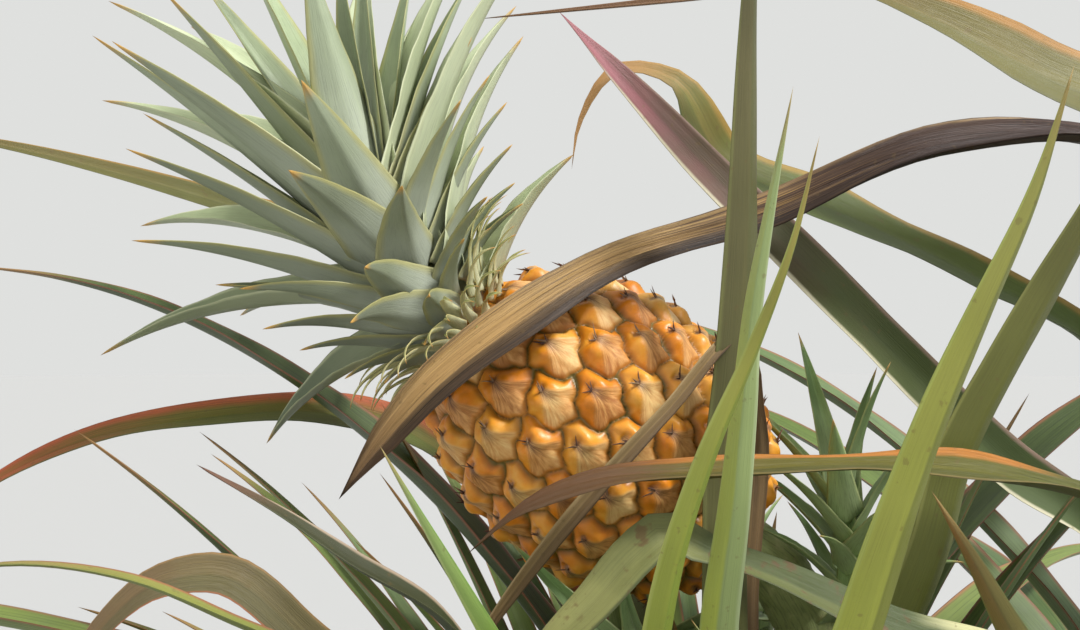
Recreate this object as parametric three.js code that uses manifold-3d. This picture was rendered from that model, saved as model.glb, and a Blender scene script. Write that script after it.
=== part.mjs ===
// A pineapple plant: a short stem in a rosette of strap leaves, a ripe fruit that leans over on its
// stalk with its leafy crown, slips under the fruit, and one side shoot with leaves of its own.
// Millimetres, +Z up. The origin is on the flat cut of the stem at the ground. The fruit leans
// towards -X, and it is seen from the -Y side.

import * as THREE from "three";
import { mergeVertices } from "three/addons/utils/BufferGeometryUtils.js";
import Module from "manifold-3d";

const wasm = await Module();
wasm.setup();

// Driving dimensions

const GAP = 0.3; // clear space between two pieces that rest on each other
const TURN = 2 * Math.PI;
const DEGREE = Math.PI / 180;
const SPIRAL = 137.5 * DEGREE; // from each leaf to the next one up

// Radii of the stems at their ends; the main one is drawn in over its last part, its shoulder.
const STEM = { height: 300, foot: 42, waist: 27, top: 32, flare: 45, shoulder: 0.7, sides: 15, rings: 8 };
const SHOOT = { foot: 17, top: 21, sides: 9, rings: 9 };
const STALK = { foot: 19, top: 16, sides: 9, rings: 8 };
// The fruit leans from +X over to -X, and nods towards -Y. Its ends are flat for a part of its radius.
const FRUIT = { length: 176, radius: 70, flat: 0.16, footCurve: 2.5, headCurve: 1.9, lean: 141, nod: 15,
  sides: 20, rings: 11 };
// A blade is folded along its middle, more so over the length where it clasps its stem.
const BLADE = { thick: 2.6, fold: 24, clasp: 70, claspFold: 50, clasping: 1.35, taper: 0.42, tipCurve: 1.6,
  thinning: 0.6, steps: 11 };
const CROWN = { foot: 25, top: 7, thick: 2.4, narrowing: 0.065 };
const SLIP = { foot: 8, top: 5, sides: 5, thick: 1.8, stations: [0, 0.25, 0.45, 0.6, 0.8, 1] };
// A short leaf of a tuft: where it starts to narrow, and the places of its rings when short or long.
const LEAFLET = { taper: 0.28, tipCurve: 1.5, long: 100, rings: [0.35, 0.75], longRings: [0.28, 0.6, 0.85] };

const at = (x, y, z) => new THREE.Vector3(x, y, z);
const UP = at(0, 0, 1);
const FRUIT_CENTRE = at(-56, -10, 508);
const FRUIT_AXIS = at(
  Math.cos(FRUIT.nod * DEGREE) * Math.cos(FRUIT.lean * DEGREE),
  -Math.sin(FRUIT.nod * DEGREE),
  Math.cos(FRUIT.nod * DEGREE) * Math.sin(FRUIT.lean * DEGREE),
);
const FRUIT_FOOT = FRUIT_CENTRE.clone().addScaledVector(FRUIT_AXIS, -FRUIT.length / 2);
const FRUIT_HEAD = FRUIT_CENTRE.clone().addScaledVector(FRUIT_AXIS, FRUIT.length / 2);

const COLOURS = {
  bark: "#6b5a3c",
  stalk: "#7f8a58",
  fruit: "#e08a1e",
  crown: "#8fa48c",
  green: "#6f8a3c",
  bright: "#a2b948",
  olive: "#77803a",
  dusty: "#6e7a4e",
  red: "#a8683c",
  dry: "#8a6a4a",
  slip: "#6f9468",
};

// Curves and frames

const through = (points) => new THREE.CatmullRomCurve3(points.map((p) => at(...p)), false, "centripetal");

const STALK_LINE = through([
  [0, 0, STEM.height - 12], [18, 8, 334], [42, 17, 376], [53, 22, 402], [42, 22, 426],
  FRUIT_FOOT.clone().addScaledVector(FRUIT_AXIS, 4).toArray(),
]);
const SHOOT_LINE = through([[0, 0, 62], [90, 4, 66], [190, 14, 104], [262, 25, 190], [290, 30, 326]]);
const CROWN_LINE = through([
  FRUIT_HEAD.clone().addScaledVector(FRUIT_AXIS, -6).toArray(),
  FRUIT_HEAD.clone().add(at(-18, -6, 13)).toArray(),
  FRUIT_HEAD.clone().add(at(-36, -9, 40)).toArray(),
  FRUIT_HEAD.clone().add(at(-47, -10, 68)).toArray(),
]);

function frame(curve, t, face) {
  const along = curve.getTangentAt(t);
  const up = face.clone().addScaledVector(along, -face.dot(along)).normalize();
  return { origin: curve.getPointAt(t), across: up.clone().cross(along), up };
}

const place = ({ origin, across, up }, x, y) =>
  origin.clone().addScaledVector(across, x).addScaledVector(up, y);

// Solids

const solid = (points, faces) => new wasm.Manifold(new wasm.Mesh({
  numProp: 3,
  vertProperties: new Float32Array(points.flatMap((p) => p.toArray())),
  triVerts: new Uint32Array(faces),
}));

// A closed skin over rings of equal count. The last ring ends flat, or in a tip. Going round a ring,
// the diagonals change hands every quarter, so the two walls of a thin blade run alike.
function loft(rings, tip = null) {
  const count = rings[0].length;
  const points = rings.flat();
  const last = points.length - count;
  const faces = [];
  for (let ring = 0; ring < last; ring += count) {
    for (let i = 0; i < count; i++) {
      const a = ring + i;
      const b = ring + ((i + 1) % count);
      if (Math.floor((4 * i) / count) % 2) faces.push(a, b, a + count, b, b + count, a + count);
      else faces.push(a, b, b + count, a, b + count, a + count);
    }
  }
  for (let i = 1; i + 1 < count; i++) {
    faces.push(0, i + 1, i);
    if (!tip) faces.push(last, last + i, last + i + 1);
  }
  if (tip) {
    for (let i = 0; i < count; i++) faces.push(last + i, last + ((i + 1) % count), points.length);
    points.push(tip);
  }
  return solid(points, faces);
}

// A round limb along a curve, its radius given by a function of the place along it. Its rings are
// turned by a direction that no limb runs along.
const SIDEWAYS = at(0.02, 1, 0.05);
function limb(curve, radius, sides, steps, grow = 0) {
  const rings = [];
  for (let step = 0; step <= steps; step++) {
    const here = frame(curve, step / steps, SIDEWAYS);
    const beyond = step === steps ? grow : step === 0 ? -grow : 0;
    here.origin.addScaledVector(curve.getTangentAt(step / steps), beyond);
    const r = radius(step / steps) + grow;
    rings.push(Array.from({ length: sides }, (_, i) =>
      place(here, r * Math.cos((TURN * i) / sides), r * Math.sin((TURN * i) / sides))));
  }
  return loft(rings);
}

const mix = THREE.MathUtils.lerp;

function stem(grow = 0) {
  const line = new THREE.LineCurve3(at(0, 0, 0), at(0, 0, STEM.height));
  const shoulder = (t) => Math.sqrt(1 - STEM.shoulder * t ** 14);
  const flare = (t) => (STEM.foot - STEM.waist) * Math.exp((-t * STEM.height) / STEM.flare);
  const radius = (t) => mix(STEM.waist, STEM.top, t * t) * shoulder(t) + flare(t);
  return limb(line, radius, STEM.sides, STEM.rings, grow);
}

const tapered = (line, { foot, top, sides, rings }) => (grow = 0) =>
  limb(line, (t) => mix(foot, top, t), sides, rings, grow);

// The barrel of the fruit, blunt at its foot and drawn in a little more towards the crown.
function fruit(grow = 0) {
  const barrel = (t) => {
    const curve = t < 0.5 ? FRUIT.footCurve : FRUIT.headCurve;
    return FRUIT.radius * mix(Math.sqrt(1 - Math.abs(2 * t - 1) ** curve), 1, FRUIT.flat);
  };
  return limb(new THREE.LineCurve3(FRUIT_FOOT, FRUIT_HEAD), barrel, FRUIT.sides, FRUIT.rings, grow);
}

// Width of a strap leaf along its length: clasping at its foot, straight, then drawn to a tip.
function spread(leaf, t) {
  const foot = 1 + (BLADE.clasping - 1) * Math.exp((-t * leaf.length * 3) / BLADE.clasp);
  const point = Math.max(0, (t - BLADE.taper) / (1 - BLADE.taper));
  return leaf.width * foot * (1 - point ** BLADE.tipCurve);
}

// A thin channelled blade between two places along a leaf. A grown blade also has thick edges.
function blade(leaf, grow = 0, start = 0, end = 1) {
  const rings = [];
  const steps = Math.max(2, Math.round(BLADE.steps * (end - start)));
  for (let step = 0; step <= steps; step++) {
    const t = mix(start, end, step / steps);
    if (t === 1) break;
    const here = frame(leaf.curve, t, leaf.face(t));
    const clasp = Math.exp((-t * leaf.length * 2) / BLADE.clasp);
    const fold = mix(BLADE.fold, BLADE.claspFold, clasp) * DEGREE;
    const half = spread(leaf, t) / 2 + grow;
    const thick = (BLADE.thick * (1 - BLADE.thinning * t)) / 2 + grow * 1.3;
    const [x, y] = [half * Math.cos(fold), half * Math.sin(fold)];
    const outline = grow
      ? [[0, thick], [-x, y + grow], [-x, y - grow], [0, -thick], [x, y - grow], [x, y + grow]]
      : [[0, thick], [-x, y], [0, -thick], [x, y]];
    rings.push(outline.map(([across, up]) => place(here, across, up)));
  }
  const tip = end === 1 ? leaf.curve.getPointAt(1) : null;
  return loft(rings, tip);
}

// What is in place so far, each grown by the gap, and the free parts of the leaves among it.
const taken = [];
const open = [];

const near = (a, b) => {
  const [p, q] = [a.boundingBox(), b.boundingBox()];
  return [0, 1, 2].every((i) => p.min[i] < q.max[i] && q.min[i] < p.max[i]);
};

// The largest body that is left of a solid once everything in place is cut from it.
function fit(whole) {
  let left = whole;
  for (const other of taken) if (near(left, other)) left = left.subtract(other);
  return left.decompose().reduce((a, b) => (a.volume() > b.volume() ? a : b));
}

// A crossing of less than this many cubic millimetres is only a graze, which is cut away.
const GRAZE = 0.5;
const isClear = (part) => open.every((other) => !near(part, other)
  || part.intersect(other).volume() < GRAZE);

const plant = new THREE.Group();

function add(name, whole, colour) {
  const mesh = whole.getMesh();
  const geometry = new THREE.BufferGeometry();
  geometry.setAttribute("position", new THREE.BufferAttribute(mesh.vertProperties, 3));
  geometry.setIndex(new THREE.BufferAttribute(mesh.triVerts, 1));
  const material = new THREE.MeshStandardMaterial({ color: COLOURS[colour], roughness: 0.6, metalness: 0 });
  const piece = new THREE.Mesh(mergeVertices(geometry, 1e-3), material);
  piece.name = name;
  plant.add(piece);
}

function addPiece(name, shape, colour) {
  add(name, fit(shape()), colour);
  taken.push(shape(GAP));
  open.push(shape(GAP));
}

addPiece("stem", stem, "bark");
addPiece("shoot_stem", tapered(SHOOT_LINE, SHOOT), "bark");
addPiece("fruit", fruit, "fruit");
addPiece("fruit_stalk", tapered(STALK_LINE, STALK), "stalk");

// Leaves

// A leaf's upper side faces its stem near the foot and the sky beyond, unless it states a face.
function makeLeaf({ points, width, faces }) {
  const curve = through(points);
  const turned = through(faces.length > 1 ? faces : [faces[0], faces[0]]);
  const face = (t) => turned.getPoint(t).normalize();
  return { curve, face, width, length: curve.getLength() };
}

// A leaf of a rosette, which leaves its foot at one pitch and bends to another.
const ARCH = { stops: 8, curve: 1.4 };
function arching({ foot, turn, rise, droop, length, sway, ...shape }) {
  const outward = (yaw) => at(Math.cos(yaw), Math.sin(yaw), 0);
  const here = foot.clone();
  const points = [foot.toArray()];
  for (let stop = 0; stop < ARCH.stops; stop++) {
    const t = (stop + 0.5) / ARCH.stops;
    const pitch = mix(rise, droop, t ** ARCH.curve) * DEGREE;
    here.addScaledVector(outward(turn + sway * t * DEGREE), (Math.cos(pitch) * length) / ARCH.stops);
    here.addScaledVector(UP, (Math.sin(pitch) * length) / ARCH.stops);
    points.push(here.toArray());
  }
  return makeLeaf({ points, faces: [UP.clone().sub(outward(turn)).toArray(),
    UP.clone().addScaledVector(outward(turn), 0.5).toArray()], ...shape });
}

const freePart = (leaf, grow) => blade(leaf, grow, Math.min(0.4, BLADE.clasp / leaf.length));

// A leaf that bends round a wide gap is two pieces, which meet at its bend.
function addLeaf(name, leaf, colour, bend = null) {
  const crack = GAP / leaf.length;
  const spans = bend ? [[0, bend], [bend + crack, 1]] : [[0, 1]];
  spans.forEach(([start, end], i) =>
    add(i ? `${name}_tip` : name, fit(blade(leaf, 0, start, end)), colour));
  for (const [start, end] of spans) taken.push(blade(leaf, GAP, start, end));
  open.push(freePart(leaf, GAP));
}

// Leaves of the plant's own rosette that show beside the fruit, each from its foot to its tip.
const ON_STEM = (z) => [0, 0, z];
const STEM_LEAVES = [
  { name: "upright", colour: "olive", width: 27, faces: [[-0.3, 1, 0.4], [-0.8, 1, 0]],
    points: [ON_STEM(268), [0, -42, 318], [0, -84, 400], [1, -82, 490], [6, -84, 566], [9, -88, 700],
      [12, -90, 795]] },
  { name: "fore_slim", colour: "bright", width: 23, faces: [[0, 1, 0.6], [-0.7, 1, 0.2]],
    points: [ON_STEM(236), [-32, -64, 300], [-38, -160, 436], [-24, -178, 500], [-6, -184, 546],
      [12, -198, 602], [18, -202, 633]] },
  { name: "fore_pair", colour: "bright", width: 30, faces: [[0.1, 1, 0.5], [0.5, 1, 0]],
    points: [ON_STEM(222), [-6, -80, 310], [-14, -148, 437], [-8, -162, 500], [-3, -168, 566],
      [8, -172, 630], [13, -174, 656]] },
  { name: "fore_broad", colour: "bright", width: 33, faces: [[-0.5, 1, 0.6], [-0.6, 1, 0.3]],
    points: [ON_STEM(210), [18, -90, 300], [44, -168, 442], [59, -190, 508], [79, -203, 566],
      [100, -208, 620], [109, -213, 658]] },
  { name: "broad_back", colour: "olive", width: 36, faces: [[-0.7, 0.8, 0.6], [-0.5, 1, 0.2]],
    points: [ON_STEM(256), [44, -24, 320], [98, -52, 440], [113, -58, 498], [147, -66, 570],
      [183, -70, 640], [213, -70, 706]] },
  { name: "spear", colour: "bright", width: 24, faces: [[0.4, 1, 0.7], [0.9, 1, 0.2]],
    points: [ON_STEM(196), [-40, -84, 286], [-88, -136, 396], [-110, -155, 440], [-139, -160, 494],
      [-150, -163, 515]] },
  { name: "grey_left", colour: "dusty", width: 30, faces: [[0.7, 0.4, 1], [0.5, -0.2, 1]],
    points: [ON_STEM(184), [-58, -60, 290], [-127, -120, 434], [-171, -128, 465], [-197, -130, 484],
      [-230, -132, 504]] },
  { name: "low_curve", colour: "olive", width: 20, faces: [[0.6, 0.4, 1], [0.1, -0.2, 1]],
    points: [ON_STEM(170), [-70, -60, 292], [-136, -118, 394], [-210, -148, 440], [-255, -154, 460],
      [-300, -157, 466], [-345, -160, 458]] },
  { name: "bent", colour: "dusty", width: 36, bend: 0.62,
    faces: [[0.5, 0.6, 1], [0, 0.2, 1], [-1, -0.2, 0.3]],
    points: [ON_STEM(158), [-92, -30, 270], [-152, -62, 372], [-190, -78, 420], [-232, -86, 459],
      [-258, -88, 452], [-284, -92, 424], [-306, -94, 384]] },
  { name: "red_edge", colour: "red", width: 30, faces: [[1, -0.6, 1], [0.1, -0.7, 1]],
    points: [ON_STEM(246), [-22, 58, 326], [-76, 84, 412], [-129, 78, 478], [-174, 56, 508],
      [-222, 42, 514], [-320, 28, 502], [-372, 16, 478], [-410, 10, 446]] },
  { name: "olive_high", colour: "olive", width: 28, faces: [[0.6, -1, 0.6], [0, -1, 0.8]],
    points: [ON_STEM(262), [-14, 66, 360], [-74, 132, 504], [-138, 128, 584], [-178, 110, 604],
      [-224, 98, 617], [-308, 90, 642], [-400, 82, 664], [-458, 74, 672]] },
  { name: "dry_bent", colour: "dry", width: 17, bend: 0.56,
    faces: [[-0.2, 1, 0.2], [-0.2, 1, 0.3], [0.3, 0.2, 1], [0.2, -1, 0.2], [0.2, -1, 0.1]],
    points: [ON_STEM(276), [12, -38, 326], [6, -64, 440], [7, -62, 512], [3, -64, 552], [-4, -76, 560],
      [-34, -92, 523], [-62, -97, 492], [-108, -99, 430], [-126, -100, 402]] },
];
const addLeaves = (table) => table.forEach(({ name, colour, bend, ...shape }) =>
  addLeaf(`leaf_${name}`, makeLeaf(shape), colour, bend));

addLeaves(STEM_LEAVES);

// Leaves of the side shoot that reach across to the fruit.
const ON_SHOOT = (t) => SHOOT_LINE.getPointAt(t).toArray();
const SHOOT_LEAVES = [
  { name: "dry_long", colour: "dry", width: 34, bend: 0.42,
    faces: [[1, -0.2, 0.3], [0.3, -0.6, 1], [-0.3, -1, 0.6]],
    points: [ON_SHOOT(0.93), [286, -8, 440], [274, -16, 560], [236, -26, 632], [176, -34, 652],
      [105, -40, 647], [18, -42, 613], [-57, -62, 589], [-97, -84, 564], [-136, -94, 533],
      [-158, -92, 508], [-176, -90, 484]] },
  { name: "orange", colour: "red", width: 26, bend: 0.3, faces: [[1, 0, 0.4], [0.1, -0.5, 1], [0, -0.4, 1]],
    points: [ON_SHOOT(0.83), [272, -22, 390], [240, -36, 452], [172, -58, 480], [60, -98, 500],
      [-16, -114, 498], [-66, -114, 494], [-92, -112, 484], [-118, -106, 462]] },
  { name: "folded", colour: "dusty", width: 38, bend: 0.7,
    faces: [[0.4, -0.6, 1], [0.5, -0.6, 1], [-0.7, -0.7, 0.6]],
    points: [ON_SHOOT(0.78), [226, -24, 366], [160, -62, 396], [92, -92, 416], [10, -104, 454],
      [-36, -114, 480], [-60, -116, 460], [-86, -114, 426], [-104, -112, 398]] },
  { name: "pink", colour: "red", width: 34, faces: [[-0.5, -0.6, 1], [-0.3, -1, 0.6]],
    points: [ON_SHOOT(0.88), [232, 14, 424], [150, -2, 488], [90, -12, 545], [42, -20, 593],
      [5, -24, 628], [-35, -30, 670], [-77, -32, 714]] },
  { name: "green_back", colour: "green", width: 30, bend: 0.78,
    faces: [[0.6, -0.6, 1], [0.4, -0.8, 1], [0.2, -0.9, 1]],
    points: [ON_SHOOT(0.9), [246, 52, 446], [205, 34, 550], [147, 30, 584], [76, 26, 618], [6, 22, 650],
      [-18, 18, 688], [-46, 10, 692], [-66, 4, 664], [-70, 0, 640]] },
  { name: "top_right", colour: "olive", width: 36, bend: 0.38,
    faces: [[1, 0, 0.3], [0.3, -0.5, 1], [0, -0.6, 1]],
    points: [ON_SHOOT(0.86), [330, 44, 420], [330, 24, 560], [262, 4, 650], [170, -4, 686],
      [108, -8, 716], [64, -8, 732], [-10, -10, 724], [-118, -12, 714]] },
  { name: "short_spear", colour: "olive", width: 24, faces: [[0.6, 1, 0.4], [0.3, 1, 0.2]],
    points: [ON_SHOOT(0.72), [206, -66, 320], [138, -110, 396], [104, -118, 452], [90, -122, 478],
      [80, -124, 492]] },
];
addLeaves(SHOOT_LEAVES);

// Tufts

// A limb whose side faces grow into short leaves, band by band. Each ring is turned on from the one
// before it, so the leaves of one band stand between those of the next.
function tuft({ line, stations, radius, sides, first = 0, thick, leaf }, grow = 0) {
  const points = [];
  const faces = [];
  const turnOf = (ring, side) => first + (TURN * (side + ring / 2)) / sides;
  const east = (axis) => at(0, 1, 0).cross(axis).normalize();
  const outward = (axis, turn) => east(axis).multiplyScalar(Math.cos(turn))
    .addScaledVector(axis.clone().cross(east(axis)), Math.sin(turn));
  stations.forEach((u, ring) => {
    for (let side = 0; side < sides; side++) {
      points.push(line.getPointAt(u)
        .addScaledVector(outward(line.getTangentAt(u), turnOf(ring, side)), radius(u) + grow));
    }
  });
  const bandFaces = (a, b, c, d) => faces.push(a, b, c, a, c, d);
  for (let ring = 0; ring + 1 < stations.length; ring++) {
    const axis = line.getTangentAt((stations[ring] + stations[ring + 1]) / 2);
    for (let side = 0; side < sides; side++) {
      const next = (side + 1) % sides;
      const above = ring + 1;
      let corners = [ring * sides + side, ring * sides + next, above * sides + next, above * sides + side];
      const shape = leaf(ring, side);
      if (!shape) {
        bandFaces(...corners);
        continue;
      }
      const foot = corners.reduce((sum, i) => sum.add(points[i]), at(0, 0, 0)).multiplyScalar(0.25);
      const out = outward(axis, turnOf(ring, side + 0.75));
      const across = axis.clone().cross(out);
      const reach = (t) => {
        const pitch = mix(shape.rise, shape.droop, t) * DEGREE;
        return out.clone().multiplyScalar(Math.cos(pitch)).addScaledVector(axis, Math.sin(pitch));
      };
      const path = through([0, 1, 2, 3, 4].map((k) => foot.clone()
        .addScaledVector(reach(k / 8), (shape.length * k) / 4).toArray()));
      for (const t of shape.length > LEAFLET.long ? LEAFLET.longRings : LEAFLET.rings) {
        const up = reach(t / 2).cross(across);
        const point = Math.max(0, (t - LEAFLET.taper) / (1 - LEAFLET.taper));
        const half = (shape.width / 2) * (1 - point ** LEAFLET.tipCurve) + 2 * grow;
        const corner = (x, y) => path.getPointAt(t).addScaledVector(across, x).addScaledVector(up, y);
        const rise = thick / 2 + 2 * grow;
        const ringStart = points.length;
        points.push(corner(-half, -rise), corner(half, -rise), corner(half, rise), corner(-half, rise));
        for (let i = 0; i < 4; i++) {
          bandFaces(corners[i], corners[(i + 1) % 4], ringStart + ((i + 1) % 4), ringStart + i);
        }
        corners = [0, 1, 2, 3].map((i) => ringStart + i);
      }
      for (let i = 0; i < 4; i++) faces.push(corners[i], corners[(i + 1) % 4], points.length);
      points.push(path.getPointAt(1));
    }
  }
  const last = (stations.length - 1) * sides;
  for (let i = 1; i + 1 < sides; i++) faces.push(0, i + 1, i, last, last + i, last + i + 1);
  return solid(points, faces);
}

// The crown: tiers from the collar of short spreading leaves on the fruit up to its upright heart.
const CROWN_TIERS = [
  { name: "crown_collar", sides: 12, stations: [0, 0.1, 0.2], pitch: [-8, 14],
    long: [42, 66], wide: [9, 11] },
  { name: "crown_low", sides: 9, stations: [0.21, 0.33, 0.46], pitch: [26, 38],
    long: [100, 150], wide: [16, 20] },
  { name: "crown_middle", sides: 7, stations: [0.47, 0.6, 0.73], pitch: [50, 60],
    long: [205, 230], wide: [22, 22] },
  { name: "crown_heart", sides: 5, stations: [0.74, 0.87, 1], pitch: [66, 77],
    long: [215, 165], wide: [14, 8] },
];
CROWN_TIERS.forEach(({ name, sides, stations, pitch, long, wide }, tier) => addPiece(name, (grow) => tuft({
  line: CROWN_LINE, stations, sides, first: tier * SPIRAL, thick: CROWN.thick,
  radius: (u) => mix(CROWN.foot, CROWN.top, u) * (1 - CROWN.narrowing * tier),
  leaf: (band) => ({ rise: pitch[band] + 6, droop: pitch[band] - 14, length: long[band], width: wide[band] }),
}, grow), "crown"));

// Slips: small shoots that curve up from the stalk just under the fruit.
const SLIPS = {
  slip_right: [[54, 14, 400], [68, 4, 420], [70, -4, 450], [66, -6, 474]],
  slip_front: [[46, 4, 390], [24, -20, 374], [-20, -44, 382], [-40, -58, 402]],
  slip_back: [[46, 38, 404], [36, 66, 400], [20, 92, 420], [14, 100, 446]],
};
const SLIP_BANDS = { 3: { pitch: 26, length: 52, width: 9 }, 4: { pitch: 60, length: 84, width: 10 } };
for (const [name, points] of Object.entries(SLIPS)) {
  addPiece(name, (grow) => tuft({
    line: through(points), stations: SLIP.stations, sides: SLIP.sides, thick: SLIP.thick,
    radius: (u) => mix(SLIP.foot, SLIP.top, u),
    leaf: (band) => SLIP_BANDS[band] && {
      rise: SLIP_BANDS[band].pitch + 12, droop: SLIP_BANDS[band].pitch - 10, ...SLIP_BANDS[band] },
  }, grow), "slip");
}

// Rosettes

// A leaf that would hang below the ground droops less.
const GROUND_CLEARANCE = 14;
function raised(shape) {
  const leaf = arching(shape);
  const lowest = Math.min(...leaf.curve.getPoints(24).map((point) => point.z));
  return lowest < GROUND_CLEARANCE ? raised({ ...shape, droop: shape.droop + 3 }) : leaf;
}

// A leaf gives way, a few degrees at a time, to the leaves that are already in place.
const GIVE = [0, 5, -5, 10, -10, 15, -15, 20, -20, 26, -26];
const LIFT = [0, -5, 5, -10, -16];
function clearLeaf(shape) {
  for (const lift of LIFT) {
    for (const aside of GIVE) {
      const leaf = raised({ ...shape, turn: shape.turn + aside * DEGREE, rise: shape.rise + lift,
        droop: shape.droop + lift });
      if (isClear(freePart(leaf, GAP))) return leaf;
    }
  }
  throw new Error(`no room for a leaf at ${shape.turn / DEGREE} degrees`);
}

// Leaves that grow towards the view of the fruit stay lower.
const VIEW_TURN = -90 * DEGREE;
const towardsView = (turn) => Math.max(0, Math.cos(turn - VIEW_TURN)) ** 2;

// Feet go up a stem from first to last, while the leaves get steeper and shorter.
const MAIN = { leaves: 15, foot: (u) => at(0, 0, mix(96, 250, u)), turn: 30, step: SPIRAL / DEGREE, low: 14,
  steep: 66, lowering: 0.55, bend: 62, long: 760, short: 560, width: 42, sway: -9 };
const SIDE = { leaves: 8, foot: (u) => SHOOT_LINE.getPointAt(mix(0.62, 0.94, u)), turn: -46, step: 45,
  low: 34, steep: 74, lowering: 0.4, bend: 60, long: 640, short: 500, width: 38, sway: 7 };

for (const [name, rosette] of [["main", MAIN], ["shoot", SIDE]]) {
  for (let i = 0; i < rosette.leaves; i++) {
    const u = i / (rosette.leaves - 1);
    const turn = (rosette.turn + rosette.step * i) * DEGREE;
    const rise = mix(rosette.low, rosette.steep, u) * (1 - rosette.lowering * towardsView(turn));
    const leaf = clearLeaf({ foot: rosette.foot(u), turn, rise, droop: rise - rosette.bend,
      length: mix(rosette.long, rosette.short, u), width: rosette.width,
      sway: rosette.sway * (i % 2 ? -1 : 1) });
    addLeaf(`leaf_${name}_${i + 1}`, leaf, "green");
  }
}

export default plant;
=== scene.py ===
"""The looks of the pineapple plant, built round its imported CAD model.

Strap leaves are read from their CAD solids and made again as channelled blades with thin edges, and
the ones that bend sharply follow routes of their own. The fruit gets its eyes, the crown and the slips
get full tufts of leaves, and the stems their old leaf scars. Metres, +Z up, seen from the -Y side.
"""

import math
import random

import bmesh
import bpy
import numpy as np
from bpy.props import FloatProperty, FloatVectorProperty, IntProperty, PointerProperty
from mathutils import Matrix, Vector


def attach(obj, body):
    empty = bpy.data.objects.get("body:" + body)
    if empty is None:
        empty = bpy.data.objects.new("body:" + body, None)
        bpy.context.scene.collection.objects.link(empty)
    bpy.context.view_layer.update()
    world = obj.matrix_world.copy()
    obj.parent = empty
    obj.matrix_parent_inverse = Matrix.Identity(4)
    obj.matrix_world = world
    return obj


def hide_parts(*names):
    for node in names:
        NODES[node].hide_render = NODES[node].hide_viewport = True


bl_info = {
    "name": "Pineapple plant",
    "version": (1, 0, 0),
    "blender": (4, 5, 0),
    "location": "3D View > Sidebar > Plant",
    "description": "Builds a pineapple plant with its fruit, crown, slips and leaves",
    "category": "Object",
}

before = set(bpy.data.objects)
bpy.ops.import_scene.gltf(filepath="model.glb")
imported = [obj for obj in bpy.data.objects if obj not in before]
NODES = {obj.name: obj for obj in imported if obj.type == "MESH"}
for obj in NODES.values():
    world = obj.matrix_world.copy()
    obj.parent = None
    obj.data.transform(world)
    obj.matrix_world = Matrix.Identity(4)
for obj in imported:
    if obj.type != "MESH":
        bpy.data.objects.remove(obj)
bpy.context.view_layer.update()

TURN = 2 * math.pi
SPIRAL = math.radians(137.5)
UP = np.array((0, 0, 1.0))
GOLDEN_SHARE = 0.618034
INNER_STEP = 0.618

# The camera of the photograph, and the lamps: name, place and spread in degrees
CAMERA_PLACE = (-0.086, -0.760, 0.5665)
FOCAL_LENGTH = 50
SENSOR_WIDTH = 36
FLOOR_RADIUS = 14
LAMPS = (("key", (1.5, -0.75, 2.1), 12), ("fill", (-1.6, -1.3, 0.9), 50))

# Places that are the same as in the CAD
FRUIT_CENTRE = np.array((-0.056, -0.010, 0.508))
FRUIT_LENGTH, FRUIT_RADIUS, FRUIT_FLAT = 0.176, 0.070, 0.16
FRUIT_LEAN, FRUIT_NOD = math.radians(141), math.radians(15)
FRUIT_AXIS = np.array((math.cos(FRUIT_NOD) * math.cos(FRUIT_LEAN), -math.sin(FRUIT_NOD),
                       math.cos(FRUIT_NOD) * math.sin(FRUIT_LEAN)))
FRUIT_FOOT = FRUIT_CENTRE - FRUIT_AXIS * FRUIT_LENGTH / 2
FRUIT_HEAD = FRUIT_CENTRE + FRUIT_AXIS * FRUIT_LENGTH / 2
STEM_HEIGHT = 0.300
FLARE_REACH = 0.045
STEM_LINE = np.array([(0, 0, STEM_HEIGHT * k / 12) for k in range(13)])
SHOOT_LINE = np.array([(0, 0, 0.062), (0.090, 0.004, 0.066), (0.190, 0.014, 0.104),
                       (0.262, 0.025, 0.190), (0.290, 0.030, 0.326)])
STALK_LINE = np.array([(0, 0, 0.288), (0.018, 0.008, 0.334), (0.042, 0.017, 0.376), (0.053, 0.022, 0.402),
                       (0.042, 0.022, 0.426), tuple(FRUIT_FOOT + FRUIT_AXIS * 0.004)])
CROWN_LINE = np.array([tuple(FRUIT_HEAD - FRUIT_AXIS * 0.006),
                       tuple(FRUIT_HEAD + (-0.018, -0.006, 0.013)),
                       tuple(FRUIT_HEAD + (-0.036, -0.009, 0.040)),
                       tuple(FRUIT_HEAD + (-0.047, -0.010, 0.068))])
SLIP_LINES = {
    "slip_right": np.array([(0.054, 0.014, 0.400), (0.068, 0.004, 0.420), (0.070, -0.004, 0.450),
                            (0.066, -0.006, 0.474)]),
    "slip_front": np.array([(0.046, 0.004, 0.390), (0.024, -0.020, 0.374), (-0.020, -0.044, 0.382),
                            (-0.040, -0.058, 0.402)]),
    "slip_back": np.array([(0.046, 0.038, 0.404), (0.036, 0.066, 0.400), (0.020, 0.092, 0.420),
                           (0.014, 0.100, 0.446)]),
}

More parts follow.
